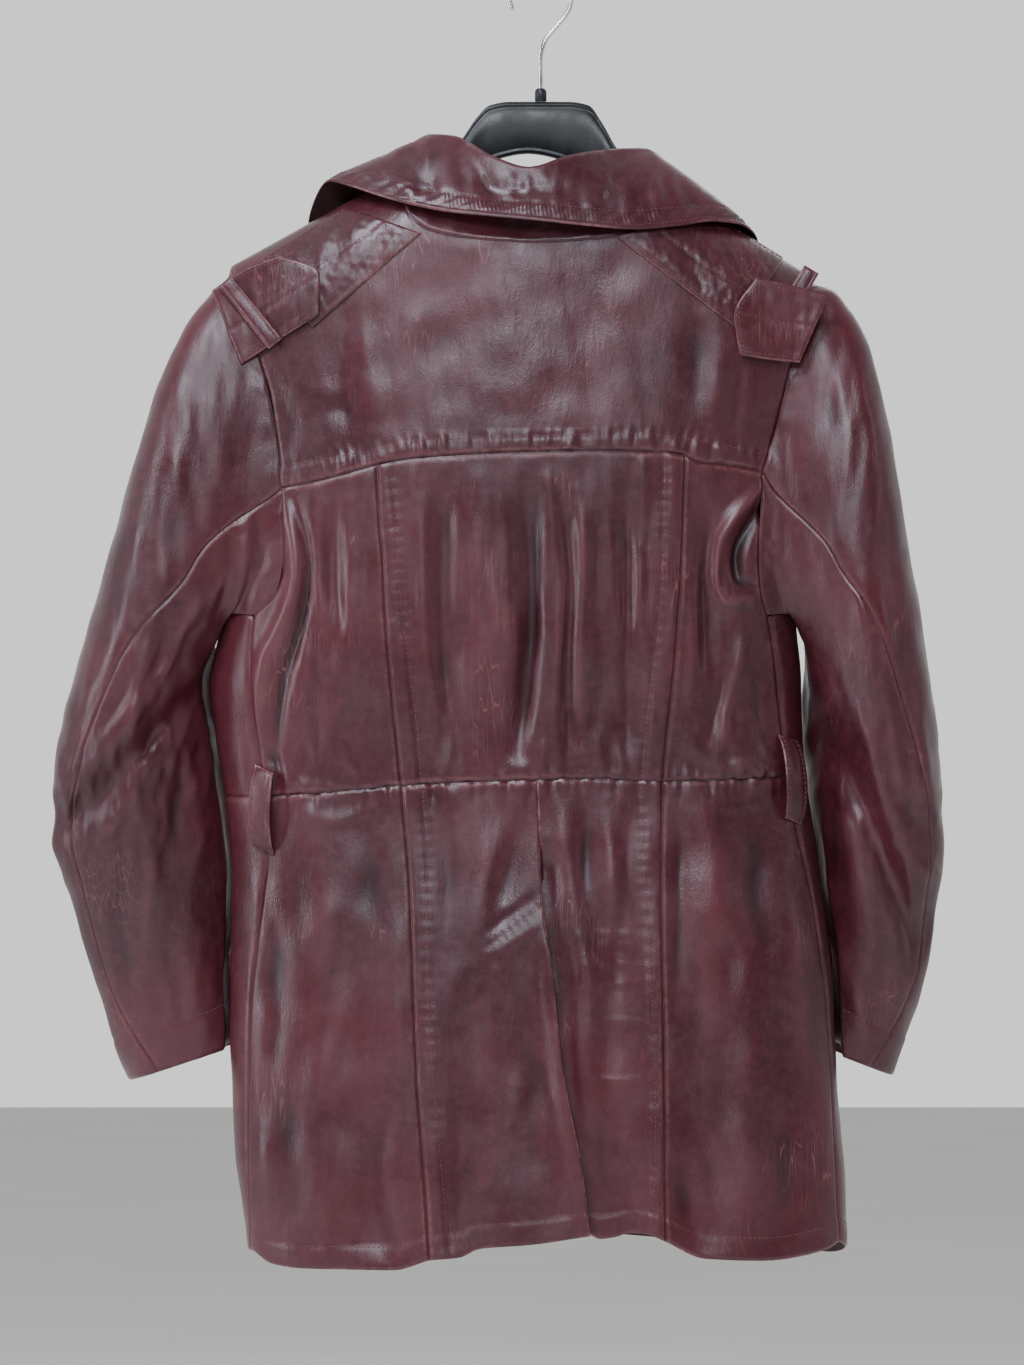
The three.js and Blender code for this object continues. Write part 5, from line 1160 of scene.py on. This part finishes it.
for side in SIDES:
    surface, nodes, loop = sleeve_surface(side)
    front_node = UPPER_NODES + LOWER_NODES + FRONT_SEAM_NODE
    last = len(SLEEVE_STATIONS[side]) - 1
    body_normals = body_normal(loop[:, 0], loop[:, 1])
    normal_axes = [profile(list(enumerate(axis))) for axis in body_normals.T]
    lines = in_millimetres(SLEEVE_CREASES[side])

    def with_margins(low, high, count, margins):
        return np.unique(np.concatenate([np.linspace(low, high, count), low + margins, high - margins]))

    def sleeve_half(name, first, count):
        columns = with_margins(first, first + count, int(count * COLUMNS_PER_NODE), COLUMN_MARGINS)
        if side == "right":
            columns = columns[::-1]
        stations = with_margins(0, last, STATION_ROWS, STATION_MARGINS)
        node, station = np.meshgrid(columns, stations)
        points = surface(node, station)
        around = surface(node + 0.05, station) - surface(node - 0.05, station)
        before = np.maximum(station - 0.1, 0)
        down = surface(node, before + 0.2) - surface(node, before)
        normals = unit(np.cross(down, around) * -SIGN[side])
        hole_normals = np.stack([axis(node % nodes) for axis in normal_axes], -1)
        first_step = surface(node, station * 0 + 0.2) - surface(node, station * 0)
        turned_in = (first_step * hole_normals).sum(-1) < 0
        at_hole = (station < 0.15) & turned_in
        share = ease(0.15 - station, 0, 0.15)[..., None] * at_hole[..., None]
        normals = unit(mix(normals, hole_normals, share))
        distances = edge_distances(points)
        behind, ahead = ease(-normals[..., 1], -0.1, 0.35), ease(normals[..., 1], -0.1, 0.35)
        flat = seen(points)
        fade = ease(distances["top"], 0, 25)
        bend = (creases(flat, lines) * behind + creases(flat + [6, 14], lines) * ahead * 0.9) * fade
        elbow = bell(station - ELBOW_STATION, 1.5)
        side_fade = np.minimum(ease(distances["left"], 0, 6), ease(distances["right"], 0, 6)) * fade
        wrinkles = WRINKLES[side] * 0.7 * elbow * waves(flat, 12, 26, seed=32)
        detail = edge_profile(distances, edges("foot"))
        detail = detail + side_fade * (0.30 * waves(flat, 18, 60, seed=31) + wrinkles)
        cuff = distances["foot"]
        detail = detail + strip(cuff, CUFF_ROW, 0.4) - 0.5 * bell(cuff - CUFF_ROW, 1.6)
        near_top = bell(distances["top"], 10) * ease(distances["top"], 0.5, 4)
        detail = detail + 0.5 * near_top * waves(np.stack([node * 14, station * 20], -1), 9, 30, seed=33)
        wear = edge_wear(distances, edges("foot", "top"))
        outer = points + normals * (bend + detail)[..., None]
        inner = points + normals * (bend - LEATHER)[..., None]
        grids[f"{name}_{side}"] = (outer, normals, distances)
        leather_piece(f"{name}_{side}", outer, inner, wear, bend + detail)

    sleeve_half("top_sleeve", front_node - nodes, nodes - front_node + UPPER_NODES)
    sleeve_half("under_sleeve", UPPER_NODES, front_node - UPPER_NODES)


# Pieces made from a grid of their own
def grid_panel(node, outer, normals, relief, free, plain=""):
    """A sheet from its outer grid, with the relief added outwards."""
    distances, kinds = edge_distances(outer), edges(free, plain)
    raised = edge_profile(distances, kinds) + relief(outer, distances)
    face = outer + normals * raised[..., None]
    grids[node] = (face, normals, distances)
    leather_piece(node, face, outer - normals * LEATHER, edge_wear(distances, kinds), raised)


# Collar: the fall from its roll line down to its edge, and the stand below it
def off_body(points):
    angle = body_angle(points[..., 0], points[..., 2])
    back = -body_point(angle, points[..., 2])[..., 1] + COLLAR_OFF_BACK
    front = body_point(math.pi - angle, points[..., 2])[..., 1] + COLLAR_OFF_FRONT
    y = np.where(points[..., 1] < 0, np.minimum(points[..., 1], -back), np.maximum(points[..., 1], front))
    over = points[..., 2] > shoulder_height(points[..., 0])
    return np.stack([points[..., 0], np.where(over, points[..., 1], y), points[..., 2]], -1)


def collar_grid(columns, rows):
    around, down = np.meshgrid(columns, rows)
    point = mix(path(COLLAR_ROLL)(around), path(COLLAR_EDGE)(around), down[..., None])
    outwards = unit(np.stack([point[..., 0], point[..., 1], 60 + 0 * down], -1))
    return off_body(point + outwards * (COLLAR_BULGE * np.sin(math.pi * down))[..., None])


def smoothed(grid, passes):
    """Averages a grid with its neighbours, its border kept."""
    grid = grid.copy()
    for _ in range(passes):
        middle = (grid[:-2, 1:-1] + grid[2:, 1:-1] + grid[1:-1, :-2] + grid[1:-1, 2:]) / 4
        grid[1:-1, 1:-1] = mix(grid[1:-1, 1:-1], middle, 0.6)
    return grid


COLLAR_CREASES = [
    ([(352, 170), (372, 184), (392, 198)], 5, 1.4), ([(392, 152), (420, 176), (436, 206)], 7, -1.6),
    ([(430, 140), (450, 172), (462, 208)], 7, 1.6), ([(470, 150), (486, 180), (510, 214)], 6, -1.4),
    ([(376, 164), (400, 184), (420, 204)], 5, 1.0), ([(560, 160), (552, 190), (560, 220)], 8, 1.2),
    ([(600, 152), (606, 190), (620, 226)], 8, -1.4), ([(640, 148), (652, 190), (660, 224)], 7, 1.5),
    ([(672, 166), (690, 196), (704, 222)], 6, -1.4), ([(700, 186), (722, 206), (738, 220)], 6, 1.3),
    ([(330, 178), (338, 186), (350, 190)], 3, 1.0), ([(500, 168), (530, 196), (540, 218)], 9, 1.0),
]
collar_lines = in_millimetres(COLLAR_CREASES)
CRINKLE_LENGTH = 2.9
COLLAR_AROUND, COLLAR_DOWN = spaced(760, 1.25), spaced(90, 2.6)


def collar_relief(points, distances):
    back = ease(-points[..., 1], -20, 10)
    flat = seen(points)
    bend = creases(flat, collar_lines) * back + 0.9 * (1 - back) * waves(points[..., [1, 2]], 60, 50, seed=41)
    band = (1 - ease(distances["foot"], 13, 15)) * ease(distances["foot"], 2, 5)
    place = distances["left"]
    phase = 2 * math.pi * place / CRINKLE_LENGTH + 1.2 * np.sin(place / 9) + 1.5 * np.sin(place / 23)
    fine = 0.26 * band * np.sin(phase) * (0.7 + 0.3 * np.sin(place / 31))
    crinkle = fine + 0.3 * band * np.sin(2 * math.pi * place / 13 + np.sin(place / 17))
    rows = sum(furrows(distances, ("foot",), inset, 1.2, 0.55) for inset in COLLAR_ROWS)
    fade = np.minimum(ease(distances["top"], 0, 12), ease(distances["foot"], 0, 14))
    return bend * fade + crinkle + rows + 0.25 * waves(flat, 16, 30, seed=43) * fade


def stand_relief(points, distances):
    ripples = 0.3 * waves(seen(points), 14, 40, seed=44)
    return ripples * ease(distances["top"], 0, 8) * ease(distances["foot"], 0, 6)


collar = smoothed(collar_grid(COLLAR_AROUND, COLLAR_DOWN), 12)
grid_panel("collar", collar, grid_normals(collar), collar_relief, "foot left right")

stand_columns, stand_rows = np.linspace(0, 1, 150), np.linspace(0, 1, 16)
neck_places = on_back(path(BACK_NECK)(stand_columns))
neck_line = body_point(neck_places[:, 0], neck_places[:, 1])
roll_inside = [(x * STAND_INSET, y + STAND_FORWARD, z - STAND_DROP) for x, y, z in COLLAR_ROLL[2:-2]]
stand_top = path(roll_inside)(stand_columns)
stand_foot = neck_line - unit(stand_top - neck_line) * STAND_GAP
stand = mix(stand_top[None], stand_foot[None], stand_rows[:, None, None])
stand_normals = grid_normals(stand)
stand_normals[-1] = body_normal(neck_places[:, 0], neck_places[:, 1])
grid_panel("collar_stand", stand, unit(stand_normals), stand_relief, "",
           plain=ALL_EDGES)

# Shoulder straps
STRAP_CREASES = {
    "left": [
        ([(360, 214), (352, 250), (330, 290)], 5, 1.2), ([(386, 226), (372, 262), (350, 292)], 5, -1.2),
        ([(334, 220), (322, 256), (312, 296)], 4, 1.2), ([(400, 236), (384, 262), (368, 282)], 4, 1.0),
    ],
    "right": [
        ([(640, 246), (664, 262), (684, 286)], 5, 1.2), ([(668, 236), (690, 260), (706, 298)], 5, -1.2),
        ([(700, 232), (722, 262), (736, 306)], 4, 1.2), ([(740, 250), (752, 272), (748, 300)], 4, -1.0),
    ],
}


def strap_relief(side, center):
    lines = in_millimetres(STRAP_CREASES[side])

    def relief(points, distances):
        flat = seen(points)
        rows = furrows(distances, ("top", "foot"), EPAULETTE_ROW, 1.1, 0.45)
        middle = -0.55 * bell(distance_to(flat, sample(photo(center), 20))[0], 1.3)
        fade = np.minimum.reduce([ease(d, 0, 6) for d in distances.values()])
        fine = 0.16 * waves(flat, 5, 8, seed=51)
        return rows + middle + (creases(flat, lines) + fine + 0.14 * waves(flat, 18, 26, seed=54)) * fade

    return relief


EPAULETTE_MIDDLE = {
    "left": [(383, 220), (350, 246), (300, 276)],
    "right": [(660, 232), (700, 262), (764, 302)],
}
for side in SIDES:
    neck_upper, neck_lower, outer_lower, outer_upper = EPAULETTE[side]
    top, foot, outer_end, neck_end = [on_back(sample(line)) for line in (
        (outer_upper, neck_upper), (outer_lower, neck_lower),
        (outer_upper, outer_lower), (neck_upper, neck_lower))]
    if side == "right":
        top, foot, outer_end, neck_end = top[::-1], foot[::-1], neck_end, outer_end
    angle, z = np.moveaxis(coons(top, foot, outer_end, neck_end, EPAULETTE_STEP), -1, 0)
    normals = body_normal(angle, z)
    grid_panel(f"epaulette_{side}", body_point(angle, z) + normals * STRAP_LIFT, normals,
               strap_relief(side, EPAULETTE_MIDDLE[side]), ALL_EDGES)


# Straps drawn taut over what lies under them
def tree_of(piece):
    """A piece's mesh in millimetres, for rays to meet."""
    count = len(piece.data.vertices)
    points = np.empty(count * 3)
    piece.data.vertices.foreach_get("co", points)
    faces = np.empty(len(piece.data.polygons) * 4, np.int32)
    piece.data.polygons.foreach_get("vertices", faces)
    return BVHTree.FromPolygons((points.reshape(-1, 3) * 1000).tolist(), faces.reshape(-1, 4).tolist())


trees = {}
VIEWER_Y, TAUT_PASSES = -400, 900


def meet(nodes, x, z):
    """Where a line from the viewer's side first meets the pieces, and the surface's normal there."""
    nearest = None
    for node in nodes:
        if node not in trees:
            trees[node] = tree_of(pieces[node])
        place, normal, _, distance = trees[node].ray_cast(Vector((x, VIEWER_Y, z)), Vector((0, 1, 0)))
        if place is not None and (nearest is None or distance < nearest[2]):
            nearest = (np.array(place), np.array(normal), distance)
    return nearest


def taut_panel(node, places, under, clearance, relief):
    """A panel over a grid of (x, z) places, drawn taut where it doesn't rest on the pieces under it."""
    resting = np.full(places.shape[:2], np.nan)
    for at in np.ndindex(resting.shape):
        hit = meet(under, *places[at])
        if hit is not None:
            resting[at] = hit[0][1] - clearance
    depths = np.nan_to_num(resting, nan=np.nanmin(resting) - 2)
    known = ~np.isnan(resting)
    for _ in range(TAUT_PASSES):
        padded = np.pad(depths, 1, mode="edge")
        average = (padded[:-2, 1:-1] + padded[2:, 1:-1] + padded[1:-1, :-2] + padded[1:-1, 2:]) / 4
        depths = np.where(known, np.minimum(average, np.where(known, resting, 0)), average)
    inner = np.stack([places[..., 0], depths, places[..., 1]], -1)
    normals = grid_normals(inner)
    grid_panel(node, inner + normals * LEATHER, normals, relief, ALL_EDGES)


def flat_grid(top, foot, left, right, step):
    """A grid of (x, z) places between four lines."""
    return coons(*[np.array(line) / ARC for line in (top, foot, left, right)], step) * ARC


def tab_grid(side):
    tip, upper, lower = TAB[side]
    end, outer_end = sample([upper[0], tip, lower[0]]), sample([upper[-1], lower[-1]])
    top, foot = sample(upper), sample(lower)
    if side == "left":
        return flat_grid(top[::-1], foot[::-1], outer_end, end, TAB_STEP)
    return flat_grid(top, foot, end, outer_end, TAB_STEP)


def loop_grid(side):
    start, end, width = LOOP[side]
    return flat_grid(*band_lines(np.array(start, float), np.array(end, float), width), STRAP_LOOP_STEP)


TAB_MIDDLE = {"left": [(224, 333), (270, 306), (316, 277)], "right": [(740, 315), (780, 322), (822, 327)]}


def tab_relief(side):
    def relief(points, distances):
        flat = seen(points)
        raised = sum(0.5 * (1 - ease(distances[edge], 4, 6.5)) for edge in ("top", "foot"))
        rows = furrows(distances, ("top", "foot"), TAB_ROW, 1.0, 0.4)
        middle = -0.5 * bell(distance_to(flat, sample(photo(TAB_MIDDLE[side]), 20))[0], 1.2)
        fade = np.minimum.reduce([ease(d, 0, 5) for d in distances.values()])
        return raised + rows + middle + 0.13 * fade * waves(flat, 12, 20, seed=52)
    return relief


def loop_relief(points, distances):
    rows = furrows(distances, SIDES, STRAP_LOOP_ROW, 0.8, 0.4)
    ripples = 0.1 * waves(seen(points), 7, 14, seed=53)
    return rows + ripples * ease(distances["left"], 0, 3) * ease(distances["right"], 0, 3)


# The left tab goes through its loop, the right one has slipped out and lies over it
for side in SIDES:
    under = ["back_yoke", f"top_sleeve_{side}", f"under_sleeve_{side}", f"epaulette_{side}"]
    for kind in ("tab", "loop") if side == "left" else ("loop", "tab"):
        node = f"epaulette_{kind}_{side}"
        places = tab_grid(side) if kind == "tab" else loop_grid(side)
        relief = tab_relief(side) if kind == "tab" else loop_relief
        clearance = FREE_TAB_CLEARANCE if (side, kind) == ("right", "tab") else STRAP_CLEARANCE
        taut_panel(node, places, under, clearance, relief)
        under = under + [node]


# Buttons and thread on the right front's edge
def full_turn(sides):
    return np.linspace(0, 2 * math.pi, sides, endpoint=False)


def turned(outline, sides, holes=()):
    """A lathe about +Z with dips at the given (x, y, radius, depth) places."""
    outline = np.array(outline, float)
    turn = full_turn(sides)
    radius, height = outline[:, None, 0], outline[:, None, 1]
    points = np.stack([radius * np.cos(turn), radius * np.sin(turn), height + 0 * turn], -1)
    for x, y, hole_radius, depth in holes:
        near = np.exp(-(((points[..., 0] - x) ** 2 + (points[..., 1] - y) ** 2) / hole_radius ** 2) ** 2)
        points[..., 2] -= depth * near * (points[..., 2] > 0.5)
    return points


def tube_faces(rings, sides):
    at = np.arange(rings * sides).reshape(rings, sides)
    following = np.roll(at, -1, axis=1)
    return np.stack([at[:-1], following[:-1], following[1:], at[1:]], -1).reshape(-1, 4)


def round_piece(node, rings, material):
    rings = np.asarray(rings)
    piece = mesh_object(f"fine_{node}", rings.reshape(-1, 3), tube_faces(*rings.shape[:2]))
    piece.data.materials.append(material)
    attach(piece, "root")
    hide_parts(node)


def frame_at(origin, normal):
    """Moves points so that their Z runs along the normal and their Y upwards."""
    side_way = unit(np.cross(normal, [0, 0, 1]))
    up_way = np.cross(side_way, normal)
    return lambda points: (
        origin + points[..., :1] * side_way + points[..., 1:2] * up_way + points[..., 2:] * normal)


PITCH, STITCH_LENGTH, THREAD_RADIUS, THREAD_SINK = 3.4, 2.55, 0.30, 0.05
ROW_STEP, ROW_JUMP = 1.7, 6
stitches = []


def add_stitch(start, end, normal, radius=THREAD_RADIUS):
    """One short stitch, its ends sunk into the leather."""
    stitches.append((np.asarray(start, float), np.asarray(end, float), np.asarray(normal, float), radius))


BUTTON_OUTLINE = [(0.001, 0), (9.2, 0), (9.8, 0.5), (10, 1.3), (9.9, 2.3), (9.5, 2.95), (8.9, 3.2),
                  (8.2, 3.0), (7.6, 2.5), (7.0, 2.15)]
BUTTON_OUTLINE += [(radius, 2.05) for radius in np.linspace(6.7, 0.001, 24)]
HOLE_PLACES, HOLE_RADIUS, HOLE_DEPTH = (-1.7, 1.7), 0.95, 1.2
BUTTON_HOLES = [(x, y, HOLE_RADIUS, HOLE_DEPTH) for x in HOLE_PLACES for y in HOLE_PLACES]
BUTTON_GAP, BUTTON_THREAD_RISE, BUTTON_THREAD_RADIUS = 0.6, 0.45, 0.35
for i, button_z in enumerate(BUTTON_HEIGHTS):
    angle, z = on_front("right", [(CENTRE_FRONT_X, button_z)])[0]
    normal = body_normal(angle, z)
    lift = float(overlap_lift("right")(angle, z)) + BUTTON_GAP
    to_coat = frame_at(body_point(angle, z) + normal * lift, normal)
    button = to_coat(turned(BUTTON_OUTLINE, 72, BUTTON_HOLES))
    round_piece(f"front_button_{i + 1}", button, BUTTON_MATERIAL)
    for x in HOLE_PLACES:
        for shift in (-0.3, 0.3):
            ends = to_coat(np.array([[x + shift, y, 1.7] for y in HOLE_PLACES])) + normal * BUTTON_THREAD_RISE
            add_stitch(*ends, normal, BUTTON_THREAD_RADIUS)

# Hanger: a moulded body with a raised rim, its socket and the hook's wire
hanger_top, hanger_foot, hanger_depth = [
    profile(line) for line in (HANGER_TOP, HANGER_UNDERSIDE, HANGER_HALF_DEPTH)
]
across = np.linspace(HANGER_TOP[0][0], HANGER_TOP[-1][0], 180)
x, around = np.meshgrid(across, full_turn(60), indexing="ij")
middle, half_height = (hanger_top(x) + hanger_foot(x)) / 2, (hanger_top(x) - hanger_foot(x)) / 2
plate = ease(PLATE_HALF_WIDTH - np.abs(x), 0, 12)
flatter = mix(1.0, 0.55, plate)
depth = np.sign(np.cos(around)) * np.abs(np.cos(around)) ** flatter * hanger_depth(x)
height = np.sign(np.sin(around)) * np.abs(np.sin(around)) ** mix(1.0, 0.75, plate) * half_height
rim = 1.5 * plate * ease(half_height - np.abs(height), 2.2, 4.0)
depth = depth - np.sign(depth) * np.minimum(rim, np.abs(depth) * 0.4)
ends = np.minimum(ease(x - across[0], -1, 5), ease(across[-1] - x, -1, 5)) ** 0.5
body_rings = np.stack([x, depth * ends, middle + height * ends], -1)
body_rings = np.concatenate([body_rings[:1] * [1, 0, 1], body_rings, body_rings[-1:] * [1, 0, 1]])
body_rings[0, :, 2] = middle[0, 0]
body_rings[-1, :, 2] = middle[-1, 0]
round_piece("hanger_body", body_rings[:, ::-1], HANGER_MATERIAL)

SOCKET_OUTLINE = [(2.05, 0), (4.0, 0), (4.2, 0.3), (4.2, 6.6), (3.9, 7.4), (3.3, 8.4), (2.9, 8.9), (2.3, 9.0),
                  (2.05, 8.8), (2.05, 0)]
socket = turned(SOCKET_OUTLINE, 40) + [0, 0, HANGER_TOP_HEIGHT + 0.3]
round_piece("hanger_socket", socket, HANGER_MATERIAL)
SHANK = [(0, 0, -93.7), (0, 0, -76), (0, 0, -62), (3, 0, -51), (10, 0, -42)]
ARC_START, ARC_END = -38, 205
arc = [
    (HOOK_RADIUS * math.cos(turn), 0, -(HOOK_RADIUS - WIRE_RADIUS) + HOOK_RADIUS * math.sin(turn))
    for turn in (math.radians(degrees) for degrees in np.linspace(ARC_START, ARC_END, 13))
]


def between(a, b, t, low, high):
    return a * (high - t) / (high - low) + b * (t - low) / (high - low)


def rounded_line(points, steps):
    """A Catmull-Rom curve through the points."""
    points = np.array(points, float)
    points = np.concatenate([2 * points[:1] - points[1:2], points, 2 * points[-1:] - points[-2:-1]])
    gaps = np.linalg.norm(np.diff(points, axis=0), axis=1) ** 0.5
    knots = np.concatenate([[0], np.cumsum(gaps)])
    line = []
    for i in range(1, len(points) - 2):
        for t in np.linspace(knots[i], knots[i + 1], steps, endpoint=i == len(points) - 3):
            a = [between(points[k], points[k + 1], t, knots[k], knots[k + 1]) for k in (i - 1, i, i + 1)]
            b = [between(a[k], a[k + 1], t, knots[i + k - 1], knots[i + k + 1]) for k in (0, 1)]
            line.append(between(*b, t, knots[i], knots[i + 1]))
    return np.array(line)


WIRE_SIDES = 20
wire = rounded_line(SHANK + arc, 14)
tangents = unit(np.gradient(wire, axis=0))
binormals = unit(np.cross(tangents, [0, 1, 0]))
turn = full_turn(WIRE_SIDES)[None, :, None]
radius = np.full(len(wire), WIRE_RADIUS)
radius[-3:] *= [0.97, 0.8, 0.35]
around_wire = np.cos(turn) * binormals[:, None] + np.sin(turn) * np.array([0, 1.0, 0])
wire_rings = wire[:, None] + radius[:, None, None] * around_wire
caps = np.repeat(wire[[0, -1]][:, None], WIRE_SIDES, axis=1)
hook = np.concatenate([caps[:1], wire_rings, caps[1:] + tangents[-1] * 0.2])
round_piece("hanger_hook", hook, STEEL_MATERIAL)


# Stitches: rows by place on the back, or beside the edge of a grid
def stitch_line(points, normals):
    """Stitches along a line of points on the leather."""
    lengths = lengths_of(points)
    at = lambda place, lines: np.array([np.interp(place, lengths, axis) for axis in lines.T])
    for i in range(int(lengths[-1] / PITCH)):
        start = (i + 0.15) * PITCH
        ends = [start, start + STITCH_LENGTH]
        normal = unit(at(np.mean(ends), normals))
        add_stitch(*[at(end, points) - normal * THREAD_SINK for end in ends], normal)


def stitch_row(line, node):
    """A row of stitches where a line of the photograph, seen from the back, meets a piece."""
    fine = sample(photo(line), 200)
    lengths = lengths_of(fine)
    places = np.linspace(0, lengths[-1], max(int(lengths[-1] / ROW_STEP), 3))
    hits = [meet([node], *(float(np.interp(place, lengths, axis)) for axis in fine.T)) for place in places]
    run = []
    for hit in hits + [None]:
        if hit is not None and (not run or np.linalg.norm(hit[0] - run[-1][0]) < ROW_JUMP):
            run.append(hit)
            continue
        if len(run) > 3:
            stitch_line(np.array([h[0] for h in run]), np.array([h[1] for h in run]))
        run = [hit] if hit is not None else []


def edge_row(node, edge, inset):
    """A row of stitches beside one edge of a piece."""
    face, normals, distances = grids[node]
    distance = distances[edge]
    if edge in SIDES:
        face, normals, distance = face.transpose(1, 0, 2), normals.transpose(1, 0, 2), distance.T
    line, line_normals = [], []
    for i in range(face.shape[1]):
        order = np.argsort(distance[:, i])
        for values, made in ((face, line), (normals, line_normals)):
            made.append([np.interp(inset, distance[order, i], values[order, i, k]) for k in range(3)])
    stitch_line(np.array(line), unit(np.array(line_normals)))


for row, node in [(YOKE_ROW, "back_yoke"), (CENTRE_ROWS[0], "back_centre"), (CENTRE_ROWS[1], "back_centre"),
                  (FLAP_ROW, "skirt_back_left"), (UNDER_ROW, "skirt_back_right"),
                  (VENT_TOP_ROW, "skirt_back_left")]:
    stitch_row(row, node)
for inset in COLLAR_ROWS:
    edge_row("collar", "foot", inset)
for side in SIDES:
    for name, edge, inset in [("front", side, FRONT_ROW), ("front_skirt", side, FRONT_ROW),
                              ("front_skirt", "foot", HEM_ROW), ("skirt_side", "foot", HEM_ROW),
                              ("skirt_back", "foot", HEM_ROW), ("top_sleeve", "foot", CUFF_ROW),
                              ("under_sleeve", "foot", CUFF_ROW)]:
        edge_row(f"{name}_{side}", edge, inset)
    for edge in ("top", "foot"):
        edge_row(f"epaulette_{side}", edge, EPAULETTE_ROW)
        edge_row(f"epaulette_tab_{side}", edge, TAB_ROW)
    edge_row(f"epaulette_tab_{side}", OTHER[side], TAB_ROW)
    stitch_row(TAB_MIDDLE[side], f"epaulette_tab_{side}")
    stitch_row(EPAULETTE_MIDDLE[side], f"epaulette_{side}")
    for edge in SIDES:
        edge_row(f"epaulette_loop_{side}", edge, STRAP_LOOP_ROW)
        edge_row(f"belt_loop_{side}", edge, BAND_ROW)
        edge_row(f"pocket_welt_{side}", edge, BAND_ROW)
    for edge in ("left", "right", "top"):
        edge_row(f"lapel_{side}", edge, LAPEL_ROW)


# Share of a stitch's length, its width there, and how high its middle rises, as parts of its radius
STITCH_RINGS = ((0, 0.4, -0.55), (0.25, 1.0, 0.4), (0.75, 1.0, 0.4), (1, 0.4, -0.55))
STITCH_SIDES = 4


def stitch_mesh():
    starts, ends, normals = (np.array([stitch[k] for stitch in stitches]) for k in range(3))
    radii = np.array([stitch[3] for stitch in stitches])
    along_way = unit(ends - starts)
    across_way = unit(np.cross(along_way, normals))
    up_way = np.cross(across_way, along_way)
    turn = full_turn(STITCH_SIDES)[None, :, None]
    around = np.cos(turn) * across_way[:, None] + np.sin(turn) * up_way[:, None]
    rings = []
    for share, size, rise in STITCH_RINGS:
        middle = mix(starts, ends, share) + up_way * (radii * rise)[:, None]
        rings.append(middle[:, None] + (radii * size)[:, None, None] * around)
    firsts = np.arange(len(stitches)) * len(STITCH_RINGS) * STITCH_SIDES
    faces = tube_faces(len(STITCH_RINGS), STITCH_SIDES)[None] + firsts[:, None, None]
    piece = mesh_object("stitches", np.stack(rings, 1).reshape(-1, 3), faces.reshape(-1, 4))
    piece.data.materials.append(THREAD_MATERIAL)
    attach(piece, "root")


stitch_mesh()

# Floor, light and camera
FLOOR_Z, FLOOR_REACH = -1250.0, 9000
floor_points = [(x * FLOOR_REACH, y * FLOOR_REACH, FLOOR_Z) for x, y in ((-1, -1), (1, -1), (1, 1), (-1, 1))]
floor = mesh_object("studio_floor", floor_points, [(0, 1, 2, 3)])
floor_material, floor_tree, floor_shader, floor_where = node_material("pale_floor")
floor_tint = ramp(floor_tree, noise(floor_tree, floor_where, 3.0, 2.0), 0.3, 0.7)
set_inputs(floor_tree, floor_shader, {
    "Base Color": blend_colors(floor_tree, floor_tint, FLOOR_DARK, FLOOR_LIGHT), "Roughness": 0.85,
})
floor.data.materials.append(floor_material)

world = bpy.data.worlds.new("studio")
bpy.context.scene.world = world
world.use_nodes = True
world_tree = world.node_tree
background = world_tree.nodes.get("Background") or world_tree.nodes.new("ShaderNodeBackground")
# Dim on the viewer's side, bright behind the coat
outwards = add(world_tree, "ShaderNodeTexCoord").outputs["Generated"]
facing = add(world_tree, "ShaderNodeSeparateXYZ", {"Vector": outwards}).outputs["Y"]
set_inputs(world_tree, background, {
    "Color": (0.83, 0.83, 0.84, 1), "Strength": ramp(world_tree, facing, -0.5, 0.6, 0.15, 1.30),
})


def area_light(name, place, target, size, power, colour=(1, 1, 1)):
    light = bpy.data.lights.new(name, "AREA")
    light.shape = "RECTANGLE"
    light.size, light.size_y = size
    light.energy = power
    light.color = colour
    lamp = bpy.data.objects.new(name, light)
    lamp.location = Vector(place)
    lamp.rotation_euler = (Vector(target) - Vector(place)).to_track_quat("-Z", "Y").to_euler()
    bpy.context.scene.collection.objects.link(lamp)


area_light("window_light", (-1.1, -1.9, 1.9), (0, 0, -0.45), (1.1, 1.1), 105, (0.90, 0.95, 1.0))
area_light("front_light", (-0.2, -3.2, 0.9), (0, 0, -0.5), (1.1, 0.7), 64, (0.92, 0.95, 1.0))
area_light("side_light", (2.6, -1.2, 0.3), (0, 0, -0.5), (0.4, 1.6), 7, (1.0, 0.97, 0.94))
area_light("left_light", (-2.6, -1.0, 0.0), (0, 0, -0.5), (0.4, 1.6), 34, (0.92, 0.96, 1.0))
area_light("far_light", (0.4, 2.6, 0.8), (0, 0, -0.45), (1.8, 1.2), 24)

CAMERA_DISTANCE, BACK_Y, SENSOR_HEIGHT = 6.0, -0.05, 24  # metres, metres and millimetres
camera_data = bpy.data.cameras.new("photo_camera")
camera = bpy.data.objects.new("photo_camera", camera_data)
bpy.context.scene.collection.objects.link(camera)
camera_x = (PHOTO_PX[0] / 2 - ORIGIN_PX[0]) * SCALE / 1000
camera_z = (ORIGIN_PX[1] - PHOTO_PX[1] / 2) * SCALE / 1000
camera.location = (camera_x, BACK_Y - CAMERA_DISTANCE, camera_z)
camera.rotation_euler = (math.radians(90), 0, 0)
camera_data.sensor_fit = "VERTICAL"
camera_data.sensor_height = SENSOR_HEIGHT
camera_data.lens = SENSOR_HEIGHT * CAMERA_DISTANCE / (PHOTO_PX[1] * SCALE / 1000)
camera_data.clip_end = 60
bpy.context.scene.camera = camera
